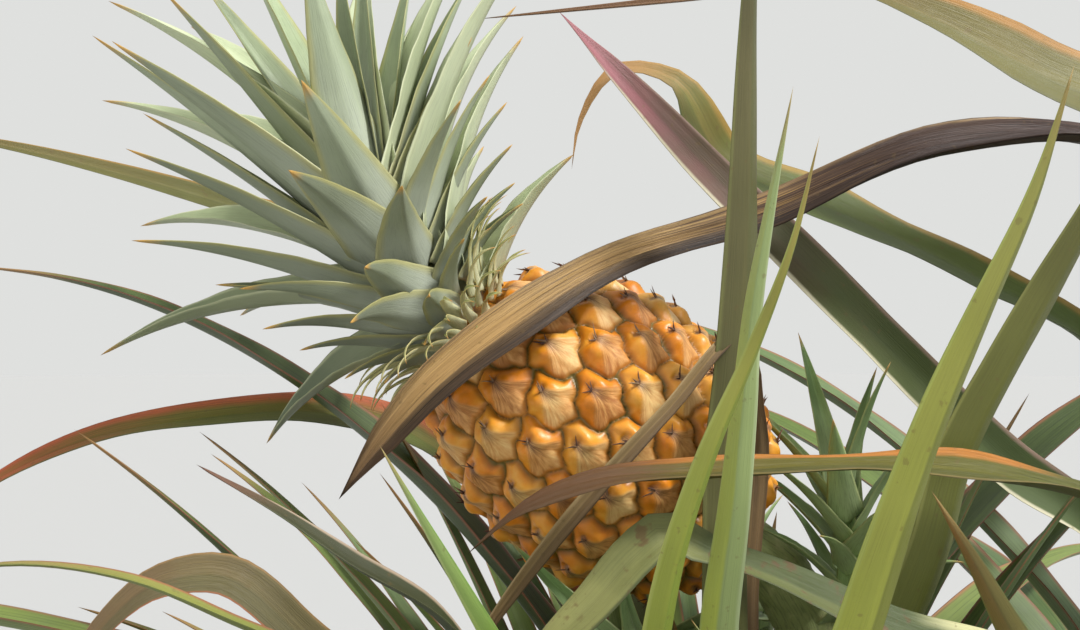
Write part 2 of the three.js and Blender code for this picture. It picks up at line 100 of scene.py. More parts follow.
# Crown leaves on the side of the crown that is seen: x, y and z of the tip, place of the foot along
# the crown's stem, width and arch
CROWN_LEAVES = [
    (-0.119, -0.030, 0.702, 0.74, 0.020, 0.10), (-0.120, -0.005, 0.738, 0.80, 0.019, 0.10),
    (-0.150, 0.005, 0.750, 0.86, 0.018, 0.05), (-0.178, 0.015, 0.758, 0.95, 0.015, 0.03),
    (-0.186, -0.020, 0.747, 0.93, 0.018, 0.03), (-0.197, -0.060, 0.739, 0.84, 0.026, 0.04),
    (-0.122, -0.075, 0.665, 0.58, 0.021, 0.12), (-0.110, -0.040, 0.682, 0.52, 0.018, 0.14),
    (-0.102, -0.025, 0.671, 0.46, 0.017, 0.14), (-0.099, -0.045, 0.648, 0.38, 0.017, 0.14),
    (-0.110, -0.072, 0.621, 0.30, 0.018, 0.16), (-0.098, -0.030, 0.631, 0.27, 0.014, 0.18),
    (-0.094, -0.042, 0.620, 0.20, 0.013, 0.20), (-0.120, -0.085, 0.601, 0.22, 0.016, 0.16),
    (-0.145, -0.118, 0.622, 0.42, 0.028, 0.14), (-0.188, -0.120, 0.667, 0.62, 0.031, 0.08),
    (-0.191, -0.135, 0.627, 0.50, 0.028, 0.12), (-0.161, -0.118, 0.587, 0.28, 0.023, 0.20),
    (-0.168, -0.112, 0.563, 0.20, 0.024, 0.22), (-0.135, -0.098, 0.575, 0.14, 0.018, 0.22),
    (-0.138, -0.088, 0.553, 0.08, 0.017, 0.22), (-0.276, -0.095, 0.688, 0.62, 0.026, 0.10),
    (-0.295, -0.060, 0.697, 0.58, 0.024, 0.10), (-0.264, -0.050, 0.720, 0.70, 0.023, 0.06),
    (-0.256, -0.015, 0.735, 0.76, 0.021, 0.05), (-0.230, -0.040, 0.744, 0.82, 0.026, 0.04),
    (-0.274, -0.050, 0.662, 0.50, 0.019, 0.12), (-0.274, -0.080, 0.642, 0.46, 0.021, 0.12),
    (-0.270, -0.085, 0.600, 0.36, 0.021, 0.16), (-0.219, -0.098, 0.578, 0.28, 0.020, 0.20),
    (-0.212, -0.080, 0.560, 0.20, 0.018, 0.22), (-0.242, -0.040, 0.581, 0.26, 0.018, 0.18),
    (-0.198, -0.062, 0.550, 0.13, 0.017, 0.22), (-0.176, -0.070, 0.537, 0.08, 0.015, 0.24),
    (-0.157, -0.078, 0.535, 0.05, 0.014, 0.24),
]

# How each single leaf looks. The colours of along run from foot to tip. Left and right are its edges,
# each with its share of the half width and, where it has ends, where it starts and stops along the
# leaf. Half is painted light and shade on one half of the blade, with its strength: on most leaves it
# is a darker painted shade on the half turned from the light, and on a few it is lighter. Straw and
# tip are dry colours, with the place where they start, and spots are blots with their strength. Swap
# turns left and right round.
LOOKS = {
    "upright": dict(slot="olive", along="5f6a30 636433 666437 6b6440 706548", half=("545a2a", 0.6),
        left=("8b8c52", 0.12), right=("56552f", 0.10), under="66653a", streak=0.5),
    "fore_slim": dict(slot="bright", along="86a02e 93a838 9ca93c a9a84a b59c58", half=("6f8a34", 0.5),
        left=("bcc06a", 0.14), right=("7e9044", 0.1), under="86963c", streak=0.4),
    "fore_pair": dict(slot="bright", along="a6ba34 b6c242 bcc44a b0ba62 a9b28c", half=("93a67c", 0.85),
        left=("b4c070", 0.1), right=("bccaa6", 0.14), under="98a84c", streak=0.4),
    # fore_broad: its half colour is painted shade on the half that the light does not shine through
    "fore_broad": dict(slot="bright", along="a4b636 b0bc40 b2b846 a8a64c a09456", half=("69692a", 0.92),
        left=("b9c266", 0.1), right=("5c5a2a", 0.12), under="98a348", streak=0.45),
    "broad_back": dict(slot="olive", along="6c7430 727a34 6d7032 6a6732 665f30", half=("5c6228", 0.5),
        left=("9a9a58", 0.08), right=("545426", 0.1), under="6e7434", streak=0.5),
    "spear": dict(slot="bright", along="7caa30 8ab43a 9abd44 a8c258 dcd9b0", half=("648c34", 0.5),
        left=("c9d48c", 0.18), right=("76944a", 0.1), under="7ba03e", streak=0.35),
    # grey_left: its pale left edge is a painted highlight on the lit far wall of its channel, and its dark
    # body colours are partly its own olive and partly painted shade
    "grey_left": dict(slot="dusty", along="3c4826 3a4526 384224 364024 464428", half=("323c20", 0.5),
        left=("c2ac94", 0.20, 0.60, 0.97), right=("5c6040", 0.10), under="3c4628", streak=0.5,
        tip=("7c5644", 0.93)),
    "low_curve": dict(slot="olive", along="5c6c2a 68762e 788434 888c3e a08a50", half=("606c2a", 0.5),
        left=("9c5c40", 0.26), right=("949c50", 0.1), under="6c7832", streak=0.45),
    "bent": dict(slot="dusty", along="4c5230 585c36 655f3a 766a42 74503a", half=("565634", 0.5),
        left=("a07c4c", 0.1), right=("a8623e", 0.08), under="857c52", streak=0.8, tip=("8a4e34", 0.93)),
    "red_edge": dict(slot="red", along="4c5a22 566424 5e6a26 6e7028 a8683c", half=("8a742e", 0.35),
        swap=True, left=("56642a", 0.14), right=("c8623c", 0.40), under="66682a", streak=0.8,
        straw=("b8663c", 0.82), tip=("b8602e", 0.95)),
    "olive_high": dict(slot="olive", along="5c622a 64682e 666a30 6c6a32 7a6434", half=("50542a", 0.5),
        left=("a8823e", 0.14), right=("5e5e2c", 0.1), under="64662e", streak=0.5),
    "dry_bent": dict(slot="dry", along="7c6440 8a7048 9c8054 a58a5e 94774e", half=("6a5034", 0.6),
        left=("c4a878", 0.18), right=("5c442c", 0.16), under="7c6444", streak=1.0, tip=("6e5238", 0.94)),
    # dry_long: its dark half colour and its dark right edge are painted shade on the lower half of the blade
    "dry_long": dict(slot="dry", along="6c543c 553d30 4a342c 5a4232 8a6844", half=("3a2a26", 0.5),
        left=("b09068", 0.16), right=("3a281e", 0.42, 0.62, 1.2), under="5c4838", streak=1.8,
        straw=("c09a62", 0.70), tip=("6c5038", 0.95)),
    "orange": dict(slot="red", along="4a4c1c 51541c 585a16 665f12 74502a", half=("484c16", 0.5),
        left=("c47a2c", 0.30, 0.50, 0.90), right=("7c6c38", 0.12), under="58561c", streak=0.9,
        tip=("624024", 0.84)),
    "folded": dict(slot="dusty", along="36401e 3b4822 44522a 566034 bebb74", half=("8a8c50", 0.3),
        left=("e4e0a8", 0.30, 0.30, 0.60), right=("4c5430", 0.12), under="60683a", streak=0.55,
        spots=("6b4428", 0.6)),
    # pink: its pale left edge is partly a pale edge of its own and partly a painted highlight line along the
    # blade
    "pink": dict(slot="red", along="3f5228 44562a 495a2c 4c5c2c 4e5c2d 525a2f 5e523a 80504e b25e6a",
        half=("46542c", 0.3), swap=True, left=("e0d8b8", 0.17), right=("a08474", 0.12), under="566034",
        streak=0.5, tip=("b4747a", 0.93)),
    "green_back": dict(slot="green", along="4f662c 566f30 5a6c2c 66702c a07c40", half=("4a5a24", 0.5),
        left=("a8863c", 0.22), right=("4c5a28", 0.1), under="5c7034", streak=0.45, tip=("b0834e", 0.86)),
    "top_right": dict(slot="olive", along="5c6628 666e2c 6c6c2c 746629 8a5e34", half=("545a24", 0.4),
        left=("b8823a", 0.22), right=("5c5c28", 0.1), under="72723a", streak=0.6, tip=("7a5638", 0.78)),
    "short_spear": dict(slot="olive", along="5c642c 646a30 6e6c34 746832 b06c34", half=("545a28", 0.5),
        left=("8a8844", 0.14), right=("5c5c2c", 0.1), under="666a32", streak=0.5),
}

# How a blade's width, channel and surface differ from the plain ones. Widths are factors at places
# from foot to tip.
SHAPES = {
    "dry_long": dict(widths=((0, 1), (0.66, 0.9), (0.74, 0.95), (0.82, 1.6), (0.90, 3.0), (0.96, 4.4),
                             (1, 3.0)), pleats=6, pleat=0.32, wave=0.18, channel=0.8),
    "dry_bent": dict(widths=((0, 1), (0.5, 0.7), (0.56, 0.42), (0.7, 0.62), (0.85, 1.3), (0.97, 2.0),
                             (1, 1)), pleats=3, pleat=0.13, wave=0.06),
    "folded": dict(widths=((0, 1), (0.6, 0.95), (0.76, 0.8), (0.84, 1.6), (0.94, 2.9), (1, 2)), pleats=3,
        pleat=0.04, wave=0.08, channel=0.8),
    "bent": dict(widths=((0, 1), (0.5, 0.75), (0.7, 0.85), (0.9, 1.5), (1, 1)), pleats=3, pleat=0.05,
        wave=0.12, channel=0.6),
    "orange": dict(widths=((0, 1), (0.7, 1.0), (0.84, 1.9), (0.93, 2.6), (1, 1.6)), pleats=3, pleat=0.10,
        wave=0.22, channel=0.9),
    "red_edge": dict(widths=((0, 1), (0.6, 1.2), (1, 1.2)), pleat=0.04, wave=0.06),
    "pink": dict(widths=((0, 0.9), (0.6, 0.95), (0.8, 1.4), (0.94, 1.9), (1, 1.2)), pleat=0.03, wave=0.04),
    "fore_pair": dict(widths=((0, 0.9), (0.3, 0.66), (1, 0.62))),
    "fore_slim": dict(widths=((0, 0.9), (0.3, 0.75), (1, 0.72))),
    "top_right": dict(widths=((0, 1), (0.30, 1.1), (0.44, 1.4), (0.56, 2.0), (0.66, 1.9), (0.76, 0.9),
                              (0.86, 0.5), (1, 0.4)), wave=0.06),
    "green_back": dict(widths=((0, 1), (0.5, 1), (0.62, 1.5), (0.70, 2.3), (0.80, 2.6), (0.87, 1.6),
                               (0.93, 1.0), (1, 0.6)), pleat=0.05, wave=0.10),
    "short_spear": dict(widths=((0, 1.2), (1, 1.25))),
    "grey_left": dict(widths=((0, 1.5), (1, 1.8))),
}

# Leaves that bend sharply, by their own route: width, foot, the ways that the upper side faces from
# foot to tip, and points along the leaf. The foot is a point or a share of the stem that carries it.
ROUTES = {
    "bent": (0.036, (0, 0, 0.158), [(0.5, 0.3, 1), (0.1, -0.7, 1), (-0.4, -1, 0.5)],
        [(-0.092, -0.030, 0.270), (-0.152, -0.062, 0.372), (-0.190, -0.078, 0.416),
         (-0.232, -0.086, 0.450), (-0.258, -0.088, 0.446), (-0.284, -0.092, 0.424), (-0.306, -0.094, 0.384)]),
    "dry_bent": (0.017, (0, 0, 0.276),
        [(-0.2, 1, 0.2), (-0.2, 1, 0.3), (0.3, 0.2, 1), (0.2, -1, 0.2), (0.2, -1, 0.1)],
        [(0.012, -0.038, 0.326), (0.010, -0.064, 0.440), (0.014, -0.062, 0.512), (0.011, -0.064, 0.545),
         (0.004, -0.076, 0.554), (-0.030, -0.092, 0.523), (-0.062, -0.097, 0.489), (-0.108, -0.099, 0.430),
         (-0.126, -0.100, 0.402)]),
    "dry_long": (0.034, 0.93, [(1, -0.2, 0.3), (0.3, -0.6, 1), (-0.3, -1, 0.6)],
        [(0.286, -0.008, 0.440), (0.274, -0.016, 0.560), (0.236, -0.026, 0.632), (0.176, -0.034, 0.652),
         (0.105, -0.040, 0.647), (0.018, -0.042, 0.613), (-0.057, -0.062, 0.589), (-0.097, -0.084, 0.564),
         (-0.136, -0.094, 0.533), (-0.158, -0.092, 0.508), (-0.176, -0.090, 0.484)]),
    "orange": (0.026, 0.83, [(1, 0, 0.4), (0.1, -0.5, 1), (0, -0.4, 1)],
        [(0.272, -0.022, 0.390), (0.240, -0.036, 0.452), (0.172, -0.058, 0.480), (0.060, -0.098, 0.500),
         (-0.016, -0.114, 0.498), (-0.066, -0.114, 0.494), (-0.092, -0.112, 0.484), (-0.118, -0.106, 0.462)]),
    "folded": (0.038, 0.78, [(0.4, -0.7, 1)] * 7 + [(0, -0.8, 0.9)] + [(-0.7, -0.8, 0.5)] * 2,
        [(0.226, -0.024, 0.366), (0.160, -0.062, 0.396), (0.092, -0.092, 0.416), (0.010, -0.104, 0.454),
         (-0.020, -0.111, 0.466), (-0.032, -0.114, 0.472), (-0.041, -0.116, 0.466),
         (-0.062, -0.117, 0.444), (-0.086, -0.114, 0.420), (-0.106, -0.112, 0.398)]),
    "green_back": (0.030, 0.90, [(0.6, -0.6, 1), (0.4, -0.8, 1), (0.2, -0.9, 1)],
        [(0.246, 0.052, 0.446), (0.205, 0.034, 0.550), (0.147, 0.030, 0.584), (0.076, 0.026, 0.618),
         (0.006, 0.022, 0.650), (-0.018, 0.018, 0.688), (-0.046, 0.010, 0.692), (-0.066, 0.004, 0.664),
         (-0.070, 0, 0.640)]),
    "top_right": (0.036, 0.86, [(1, -0.3, 0.3), (0.3, -1, 0.8), (0.1, -1, 0.8)],
        [(0.330, 0.044, 0.420), (0.330, 0.024, 0.560), (0.262, 0.004, 0.650), (0.170, -0.004, 0.686),
         (0.108, -0.008, 0.716), (0.064, -0.008, 0.732), (-0.010, -0.010, 0.724), (-0.118, -0.012, 0.714)]),
}
SIDE_SHOOT = ("dry_long", "orange", "folded", "pink", "green_back", "top_right", "short_spear")

# A strap leaf's half width and channel depth, for each unit that it would be wide if it lay flat
CHANNEL_HALF, CHANNEL_DEPTH = 0.914, 0.407
PLAIN_WIDTHS = ((0, 1), (1, 1))
PLAIN_TIP = ("a5864e", 0.955)
# Crown leaves whose tips are higher than this are the broadest against their width in the table
HEART_HEIGHT = 0.7
LEAF_ROUGHNESS = 0.46
FRUIT_ROUGHNESS = 0.40

# Mesh of the fruit, size of an eye against an even share of the skin, and width of the slope round it
FRUIT_SIDES, FRUIT_RINGS = 420, 228
EYE_OVERLAP = 1.08
EYE_SLOPE = 0.0062
# Four balls that an eye is made from, in its own size: place to the crown and sideways, and radius
EYE_BALLS = ((0.20, 0.0, 0.52), (-0.52, 0.0, 0.27), (-0.44, 0.62, 0.20), (-0.44, -0.62, 0.20))
TIPS_ON_EYE = 3
OLD_FEET = 26
SLIP_LEAVES = 20
SLIP_RINGS = 20
MAIN_LEAVES, SHOOT_LEAVES = 15, 8


# Sizes and colours that a user would change

def tint(code):
    """A colour written as RRGGBB, as the linear colour that a shader takes."""
    parts = [int(code[k:k + 2], 16) / 255 for k in (0, 2, 4)]
    return tuple(c / 12.92 if c <= 0.04045 else ((c + 0.055) / 1.055) ** 2.4 for c in parts) + (1.0,)


def colour(name, description, code):
    return FloatVectorProperty(name=name, description=description, subtype="COLOR", size=4, min=0, max=1,
                               default=tint(code))


def number(name, description, default, low, high, **more):
    return FloatProperty(name=name, description=description, default=default, min=low, max=high, **more)


def metres(*values):
    return number(*values, unit="LENGTH")


def whole_number(name, description, default, low, high):
    return IntProperty(name=name, description=description, default=default, min=low, max=high)


class LeafSettings(bpy.types.PropertyGroup):
    thickness: metres("Thickness", "Thickness of a blade at its middle", 0.0017, 0.0005, 0.004)
    waviness: number("Waviness", "Rise and fall of the edges, as a share of the half width", 0.035, 0, 0.4,
                     subtype="FACTOR")
    inner: whole_number("Inner leaves", "Extra leaves in the heart of the rosette", 42, 1, 60)
    skirt: whole_number("Skirt leaves", "Older leaves at the foot of the rosette", 20, 1, 60)
    rings: whole_number("Rings", "Cross sections along a strap leaf", 72, 12, 120)
    green: colour("Green", "Fresh leaves of the rosette", "667a38")
    deep: colour("Deep green", "Older and shaded leaves", "4c5c30")
    flush: colour("Flush", "Reddish edges of leaves in strong light", "a3604a")


class FruitSettings(bpy.types.PropertyGroup):
    eyes: whole_number("Eyes", "Number of eyes on the whole fruit", 148, 40, 260)
    relief: metres("Relief", "Height of an eye over the groove round it", 0.0062, 0.001, 0.009)
    ripe: colour("Ripe", "The ripe side of each eye", "e28612")
    bract: colour("Bract", "The dry scale that covers the lower half of each eye", "dba260")
    groove: colour("Groove", "The last green between the eyes", "5c5a16")


class CrownSettings(bpy.types.PropertyGroup):
    behind: whole_number("Leaves behind", "Crown leaves on the far side", 22, 8, 80)
    collar: whole_number("Collar", "Small curled leaves between crown and fruit", 64, 8, 120)
    thickness: metres("Thickness", "Thickness of a crown leaf at its middle", 0.0016, 0.0005, 0.004)
    leaf: colour("Leaf", "Grey-green of the crown", "707a56")
    bloom: colour("Bloom", "Whitish bloom near the foot of each leaf", "c2c8b8")
    tip: colour("Tip", "Dried tips", "c99a4a")


class StageSettings(bpy.types.PropertyGroup):
    floor: colour("Floor", "The plain floor", "afafae")
    key: number("Key light", "Strength of the main light", 3.7, 0, 20)
    fill: number("Fill light", "Strength of the light from the other side", 0.2, 0, 20)
    sky: number("Surroundings", "Strength of the light from all round", 0.84, 0, 3)


class PlantSettings(bpy.types.PropertyGroup):
    leaves: PointerProperty(type=LeafSettings)
    fruit: PointerProperty(type=FruitSettings)
    crown: PointerProperty(type=CrownSettings)
    stage: PointerProperty(type=StageSettings)


# Finishes

class Finish:
    """A material with its shader, and short ways to add nodes to it."""

    def __init__(self, name, roughness, gloss=0.5):
        self.material = bpy.data.materials.new(name)
        self.material.use_nodes = True
        self.tree = self.material.node_tree
        self.shader = self.tree.nodes["Principled BSDF"]
        self.shader.inputs["Roughness"].default_value = roughness
        self.shader.inputs["Specular IOR Level"].default_value = gloss

    def feed(self, socket, value):
        """Gives a socket a link, a number, a colour or the code of a colour."""
        if isinstance(value, bpy.types.NodeSocket):
            self.tree.links.new(value, socket)
        else:
            socket.default_value = tint(value) if isinstance(value, str) else value

    def node(self, kind, inputs=(), **settings):
        made = self.tree.nodes.new("ShaderNode" + kind)
        for key, value in settings.items():
            setattr(made, key, value)
        for socket, value in dict(inputs).items():
            self.feed(made.inputs[socket], value)
        return made

    def math(self, operation, a, b=0.0):
        return self.node("Math", {0: a, 1: b}, operation=operation).outputs[0]

    def times(self, a, b):
        return self.math("MULTIPLY", a, b)

    def plus(self, a, b):
        return self.math("ADD", a, b)

    def swayed(self, value, noise, amount):
        """The value, moved up and down by this amount of the noise."""
        return self.plus(value, self.times(self.math("SUBTRACT", noise, 0.5), amount))

    def step(self, value, low, high):
        """0 at low, 1 at high and smooth between them. High can be the smaller one."""
        made = self.node("MapRange", {0: value, 1: low, 2: high}, interpolation_type="SMOOTHSTEP")
        return made.outputs[0]

    def mix(self, factor, a, b, kind="MIX"):
        return self.node("Mix", {0: factor, 6: a, 7: b}, data_type="RGBA", blend_type=kind).outputs[2]

    def over(self, paint, mask, share, shade, kind="MIX"):
        """The paint with a share of another colour over it where the mask is."""
        return self.mix(self.times(mask, share), paint, shade, kind)

    def ramp(self, value, stops):
        made = self.node("ValToRGB", {0: value})
        elements = made.color_ramp.elements
        while len(elements) < len(stops):
            elements.new(0.5)
        for element, (place, _) in zip(elements, stops):
            element.position = place
        for element, (_, shade) in zip(elements, stops):
            element.color = tint(shade) if isinstance(shade, str) else shade
        return made.outputs[0]

    def blend(self, value, shades):
        """A ramp through these colours, evenly spaced."""
        return self.ramp(value, [(k / (len(shades) - 1), shade) for k, shade in enumerate(shades)])

    def given(self, name):
        """The vector and the number that the mesh gives as this attribute."""
        source = self.node("Attribute", attribute_name=name, attribute_type="GEOMETRY")
        return source.outputs["Vector"], source.outputs["Fac"]

    def parts(self, name):
        """The three parts of an attribute of the mesh."""
        return self.node("SeparateXYZ", {0: self.given(name)[0]}).outputs

    def noise(self, scale, detail=3.0, rough=0.55, place=None):
        """Noise at this place, or else in the space of the object."""
        if place is None:
            place = self.node("TexCoord").outputs["Object"]
        inputs = {"Vector": place, "Scale": scale, "Detail": detail, "Roughness": rough}
        return self.node("TexNoise", inputs).outputs["Fac"]

    def fibres(self, along, across, stretch, shift, scale, detail, rough):
        """Noise that is drawn out: stretch is how often it changes along and across the blade."""
        x, y = self.times(along, stretch[0]), self.times(across, stretch[1])
        return self.noise(scale, detail, rough, self.node("CombineXYZ", {0: x, 1: y, 2: shift}).outputs[0])

    def bump(self, height, strength, distance):
        made = self.node("Bump", {"Strength": strength, "Distance": distance, "Height": height})
        self.feed(self.shader.inputs["Normal"], made.outputs[0])

    def done(self, paint, roughness=None):
        """The material, with this colour and roughness."""
        self.feed(self.shader.inputs["Base Color"], paint)
        if roughness is not None:
            self.feed(self.shader.inputs["Roughness"], roughness)
        return self.material


def leaf_finish(name, look):
    """The finish of one strap leaf, which follows the blade from foot to tip and from edge to edge."""
    f = Finish(name, LEAF_ROUGHNESS, 0.45)
    along, across, under = f.parts("blade")
    if look.get("swap"):
        across = f.times(across, -1.0)
    streaks = f.fibres(along, across, (3.0, 9.0), 0.0, 3.0, 5.0, 0.65)
    patches = f.noise(26.0, 3.0, 0.6)
    paint = f.blend(f.swayed(along, patches, 0.22), look["along"].split())
    if "straw" in look:
        code, start = look["straw"]
        paint = f.mix(f.step(f.swayed(along, streaks, 0.5), start - 0.06, start + 0.10), paint, code)
    # Painted light and shade: one half of the blade takes the look's half colour, mostly as a darker painted
    # shade
    code, share = look["half"]
    paint = f.over(paint, f.step(f.swayed(across, patches, 0.25), -0.06, 0.12), share, code)
    for edge, sign in (("left", -1.0), ("right", 1.0)):
        code, share, *span = look[edge]
        reach = f.swayed(f.times(across, sign), patches, share)
        rim = f.times(f.step(reach, 1.0 - share * 1.6, 1.0 - share * 0.5), 0.85)
        if span:
            start, end = span
            within = f.times(f.step(along, start, start + 0.06), f.step(along, end, end - 0.06))
            rim = f.times(rim, within)
        paint = f.mix(rim, paint, code)
    paint = f.over(paint, under, 0.35, look["under"])
    streak = look["streak"]
    fine = f.fibres(along, across, (2.0, 26.0), 3.0, 3.0, 3.0, 0.6)
    lines = f.plus(f.times(streaks, 0.6), f.times(fine, 0.4))
    paint = f.over(paint, f.step(lines, 0.51, 0.34), min(0.9, 0.70 * streak), "3c3a20", "MULTIPLY")
    paint = f.over(paint, f.step(lines, 0.51, 0.68), min(0.9, 0.50 * streak), "e9e2bf", "SOFT_LIGHT")
    paint = f.over(paint, f.step(f.noise(9.0, 2.0), 0.40, 0.68), 0.22, "4f5527", "MULTIPLY")
    paint = f.over(paint, f.step(f.noise(230.0, 2.0, 0.5), 0.66, 0.72), 0.35, "6a5530")
    if "spots" in look:
        code, share = look["spots"]
        paint = f.over(paint, f.step(f.noise(75.0, 3.0, 0.6), 0.60, 0.68), share, code)
    code, start = look.get("tip", PLAIN_TIP)
    paint = f.over(paint, f.step(f.swayed(along, streaks, 0.16), start - 0.03, start + 0.05), 0.85, code)
    keel = f.times(f.math("ABSOLUTE", across), 0.05)
    f.bump(f.plus(lines, keel), 0.35 + 0.4 * streak, 0.0009)
    return f.done(paint, f.plus(f.times(patches, 0.22), LEAF_ROUGHNESS - 0.08))


def dealt_leaf_finish(name, shades, flush, tip, bloom=None, roughness=0.48, rim=0.7, grain=1.0, shade=0.30,
                      inset=0.86):
    """The finish of many leaves in one piece: each leaf has a tone of its own, which picks its colour.
    Rim and inset are the strength and start of the edges, grain is the strength of the streaks, and
    shade is the strength of the painted shade that darkens one half of each leaf."""
    f = Finish(name, roughness, 0.4)
    along, across, under = f.parts("blade")
    tone = f.given("tone")[1]
    streaks = f.fibres(along, across, (3.0, 8.0), f.times(tone, 40.0), 3.0, 5.0, 0.65)
    patches = f.noise(30.0, 3.0, 0.6)
    paint = f.blend(f.swayed(tone, patches, 0.35), shades)
    # Painted shade: one half of each leaf is darkened, and less on leaves with a higher tone
    low = f.times(f.math("SUBTRACT", 1.3, tone), shade)
    paint = f.over(paint, f.step(across, -0.05, 0.10), low, "5a6638", "MULTIPLY")
    if bloom is not None:
        foot = f.step(f.plus(along, f.times(streaks, 0.3)), 0.80, 0.22)
        paint = f.over(paint, foot, 0.75, bloom)
        paint = f.over(paint, under, 0.25, bloom)
    width = f.plus(f.math("ABSOLUTE", across), f.times(patches, 0.12))
    paint = f.over(paint, f.step(width, inset, 1.02), rim, flush)
    paint = f.over(paint, f.step(streaks, 0.50, 0.36), 0.38 * grain, "4a5230", "MULTIPLY")
    paint = f.over(paint, f.step(streaks, 0.51, 0.68), 0.34 * grain, "ecebd0", "SOFT_LIGHT")
    paint = f.mix(f.step(f.swayed(along, streaks, 0.14), 0.86, 0.99), paint, tip)
    f.bump(streaks, 0.35, 0.0008)
    return f.done(paint, f.plus(f.times(patches, 0.2), roughness - 0.08))


# Shapes

def unit(rows):
    return rows / np.maximum(np.linalg.norm(rows, axis=-1, keepdims=True), 1e-12)


def flowing(rows, count):
    """Rows spaced along the smooth curve through their first three columns, the rest carried along."""
    lengths = np.concatenate([[0], np.cumsum(np.linalg.norm(np.diff(rows[:, :3], axis=0), axis=1))])
    slopes = np.gradient(rows, lengths, axis=0)
    places = np.linspace(0, 1, count) * lengths[-1]
    k = np.clip(np.searchsorted(lengths, places, side="right") - 1, 0, len(lengths) - 2)
    span = (lengths[k + 1] - lengths[k])[:, None]
    t = (places - lengths[k])[:, None] / span
    a, b = rows[k], rows[k + 1]
    return (a * (1 + 2 * t) * (1 - t) ** 2 + b * t ** 2 * (3 - 2 * t)
            + slopes[k] * span * t * (1 - t) ** 2 - slopes[k + 1] * span * t ** 2 * (1 - t))


def tube(around, along):
    """A closed tube of radius 1 from z 0 to 1, whose ends come together in one point each."""
    shell = bmesh.new()
    bmesh.ops.create_cone(shell, cap_ends=False, segments=around, radius1=1, radius2=1, depth=1)
    bmesh.ops.translate(shell, verts=shell.verts, vec=(0, 0, 0.5))
    lengthwise = [e for e in shell.edges if abs(e.verts[0].co.z - e.verts[1].co.z) > 0.5]
    bmesh.ops.subdivide_edges(shell, edges=lengthwise, cuts=along - 1, use_grid_fill=True)
    for end in (0, 1):
        ring = [v for v in shell.verts if abs(v.co.z - end) < 1e-6]
        bmesh.ops.pointmerge(shell, verts=ring, merge_co=(0, 0, end))
    return shell


def mesh_of(name, shell):
    mesh = bpy.data.meshes.new(name)
    shell.to_mesh(mesh)
    shell.free()
    return mesh


def corners_of(mesh):
    found = np.empty(len(mesh.vertices) * 3, np.float32)
    mesh.vertices.foreach_get("co", found)
    return found.reshape(-1, 3).astype(float)


def place_corners(mesh, places):
    mesh.vertices.foreach_set("co", places.astype(np.float32).ravel())


def give(mesh, name, kind, values):
    layer = mesh.attributes.new(name, kind, "POINT")
    field = "vector" if kind == "FLOAT_VECTOR" else "value"
    layer.data.foreach_set(field, np.asarray(values, np.float32).ravel())


def smooth(mesh):
    mesh.polygons.foreach_set("use_smooth", [True] * len(mesh.polygons))
    mesh.update()


def finished(name, mesh, material, nodes=()):
    """Makes the object of a mesh, on the plant and in place of its CAD nodes."""
    smooth(mesh)
    piece = bpy.data.objects.new(name, mesh)
    bpy.context.scene.collection.objects.link(piece)
    mesh.materials.append(material)
    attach(piece, "root")
    if nodes:
        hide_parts(*nodes)


class Spine:
    """The middle of a blade from foot to tip: its points, ways across and up, half widths and depths."""

    def __init__(self, rows):
        self.point = rows[:, :3]
        along = unit(np.gradient(self.point, axis=0))
        self.across = unit(np.cross(rows[:, 3:6], along))
        self.up = np.cross(along, self.across)
        self.half = np.maximum(rows[:, 6], 0)
        self.depth = rows[:, 7]


def blades(name, around, spines, thickness, shapes, seed):
    """One mesh of all these blades, each a channel with a soft keel and thin edges."""
    dice = random.Random(seed)
    steps = len(spines[0].point) - 1
    one = mesh_of(name, tube(around, steps))
    joined = bmesh.new()
    for _ in spines:
        joined.from_mesh(one)
    mesh = mesh_of(name, joined)
    x, y, t = corners_of(one).T
    bpy.data.meshes.remove(one)
    ring = np.rint(t * steps).astype(int)
    side = np.sign(x)
    edge = np.abs(x) ** 1.6
    places, marks, tones = [], [], []
    for spine, shape in zip(spines, shapes):
        half = spine.half[ring] * np.interp(t, *zip(*shape.get("widths", PLAIN_WIDTHS)))
        soft = shape.get("keel", 0.2)
        bow = (np.sqrt(x * x + soft * soft) - soft) / (math.sqrt(1 + soft * soft) - soft)
        phase = dice.uniform(0, TURN)
        wave = shape["wave"] * edge
        ripple = wave * np.sin(t * dice.uniform(16, 24) + phase + 0.8 * side)
        ripple += 0.5 * wave * np.sin(t * dice.uniform(38, 52) - phase + 1.9 * side)
        fold = x * math.pi * shape.get("pleats", 2) + phase + 1.5 * np.sin(t * 5 + phase)
        pleat = shape.get("pleat", 0.0) * np.sin(fold)
        channel = spine.depth[ring] * bow * shape.get("channel", 1.0)
        lift = channel + half * (ripple + pleat * (1 - edge * 0.5))
        thick = thickness / 2 * (1.15 - 0.50 * t) * np.minimum(1, half / (thickness * 0.8) + 0.40)
        places.append(spine.point[ring] + spine.across[ring] * (half * x)[:, None]
                      + spine.up[ring] * (lift + thick * y)[:, None])
        marks.append(np.stack([t, x, 0.5 - 0.5 * np.sign(np.round(y, 4))], 1))
        drawn = dice.random()
        tones.append(np.full(len(t), shape.get("tone", drawn)))
    place_corners(mesh, np.concatenate(places))
    give(mesh, "blade", "FLOAT_VECTOR", np.concatenate(marks))
    give(mesh, "tone", "FLOAT", np.concatenate(tones))
    return mesh


# Strap leaves, read from their CAD solids or laid along routes of their own

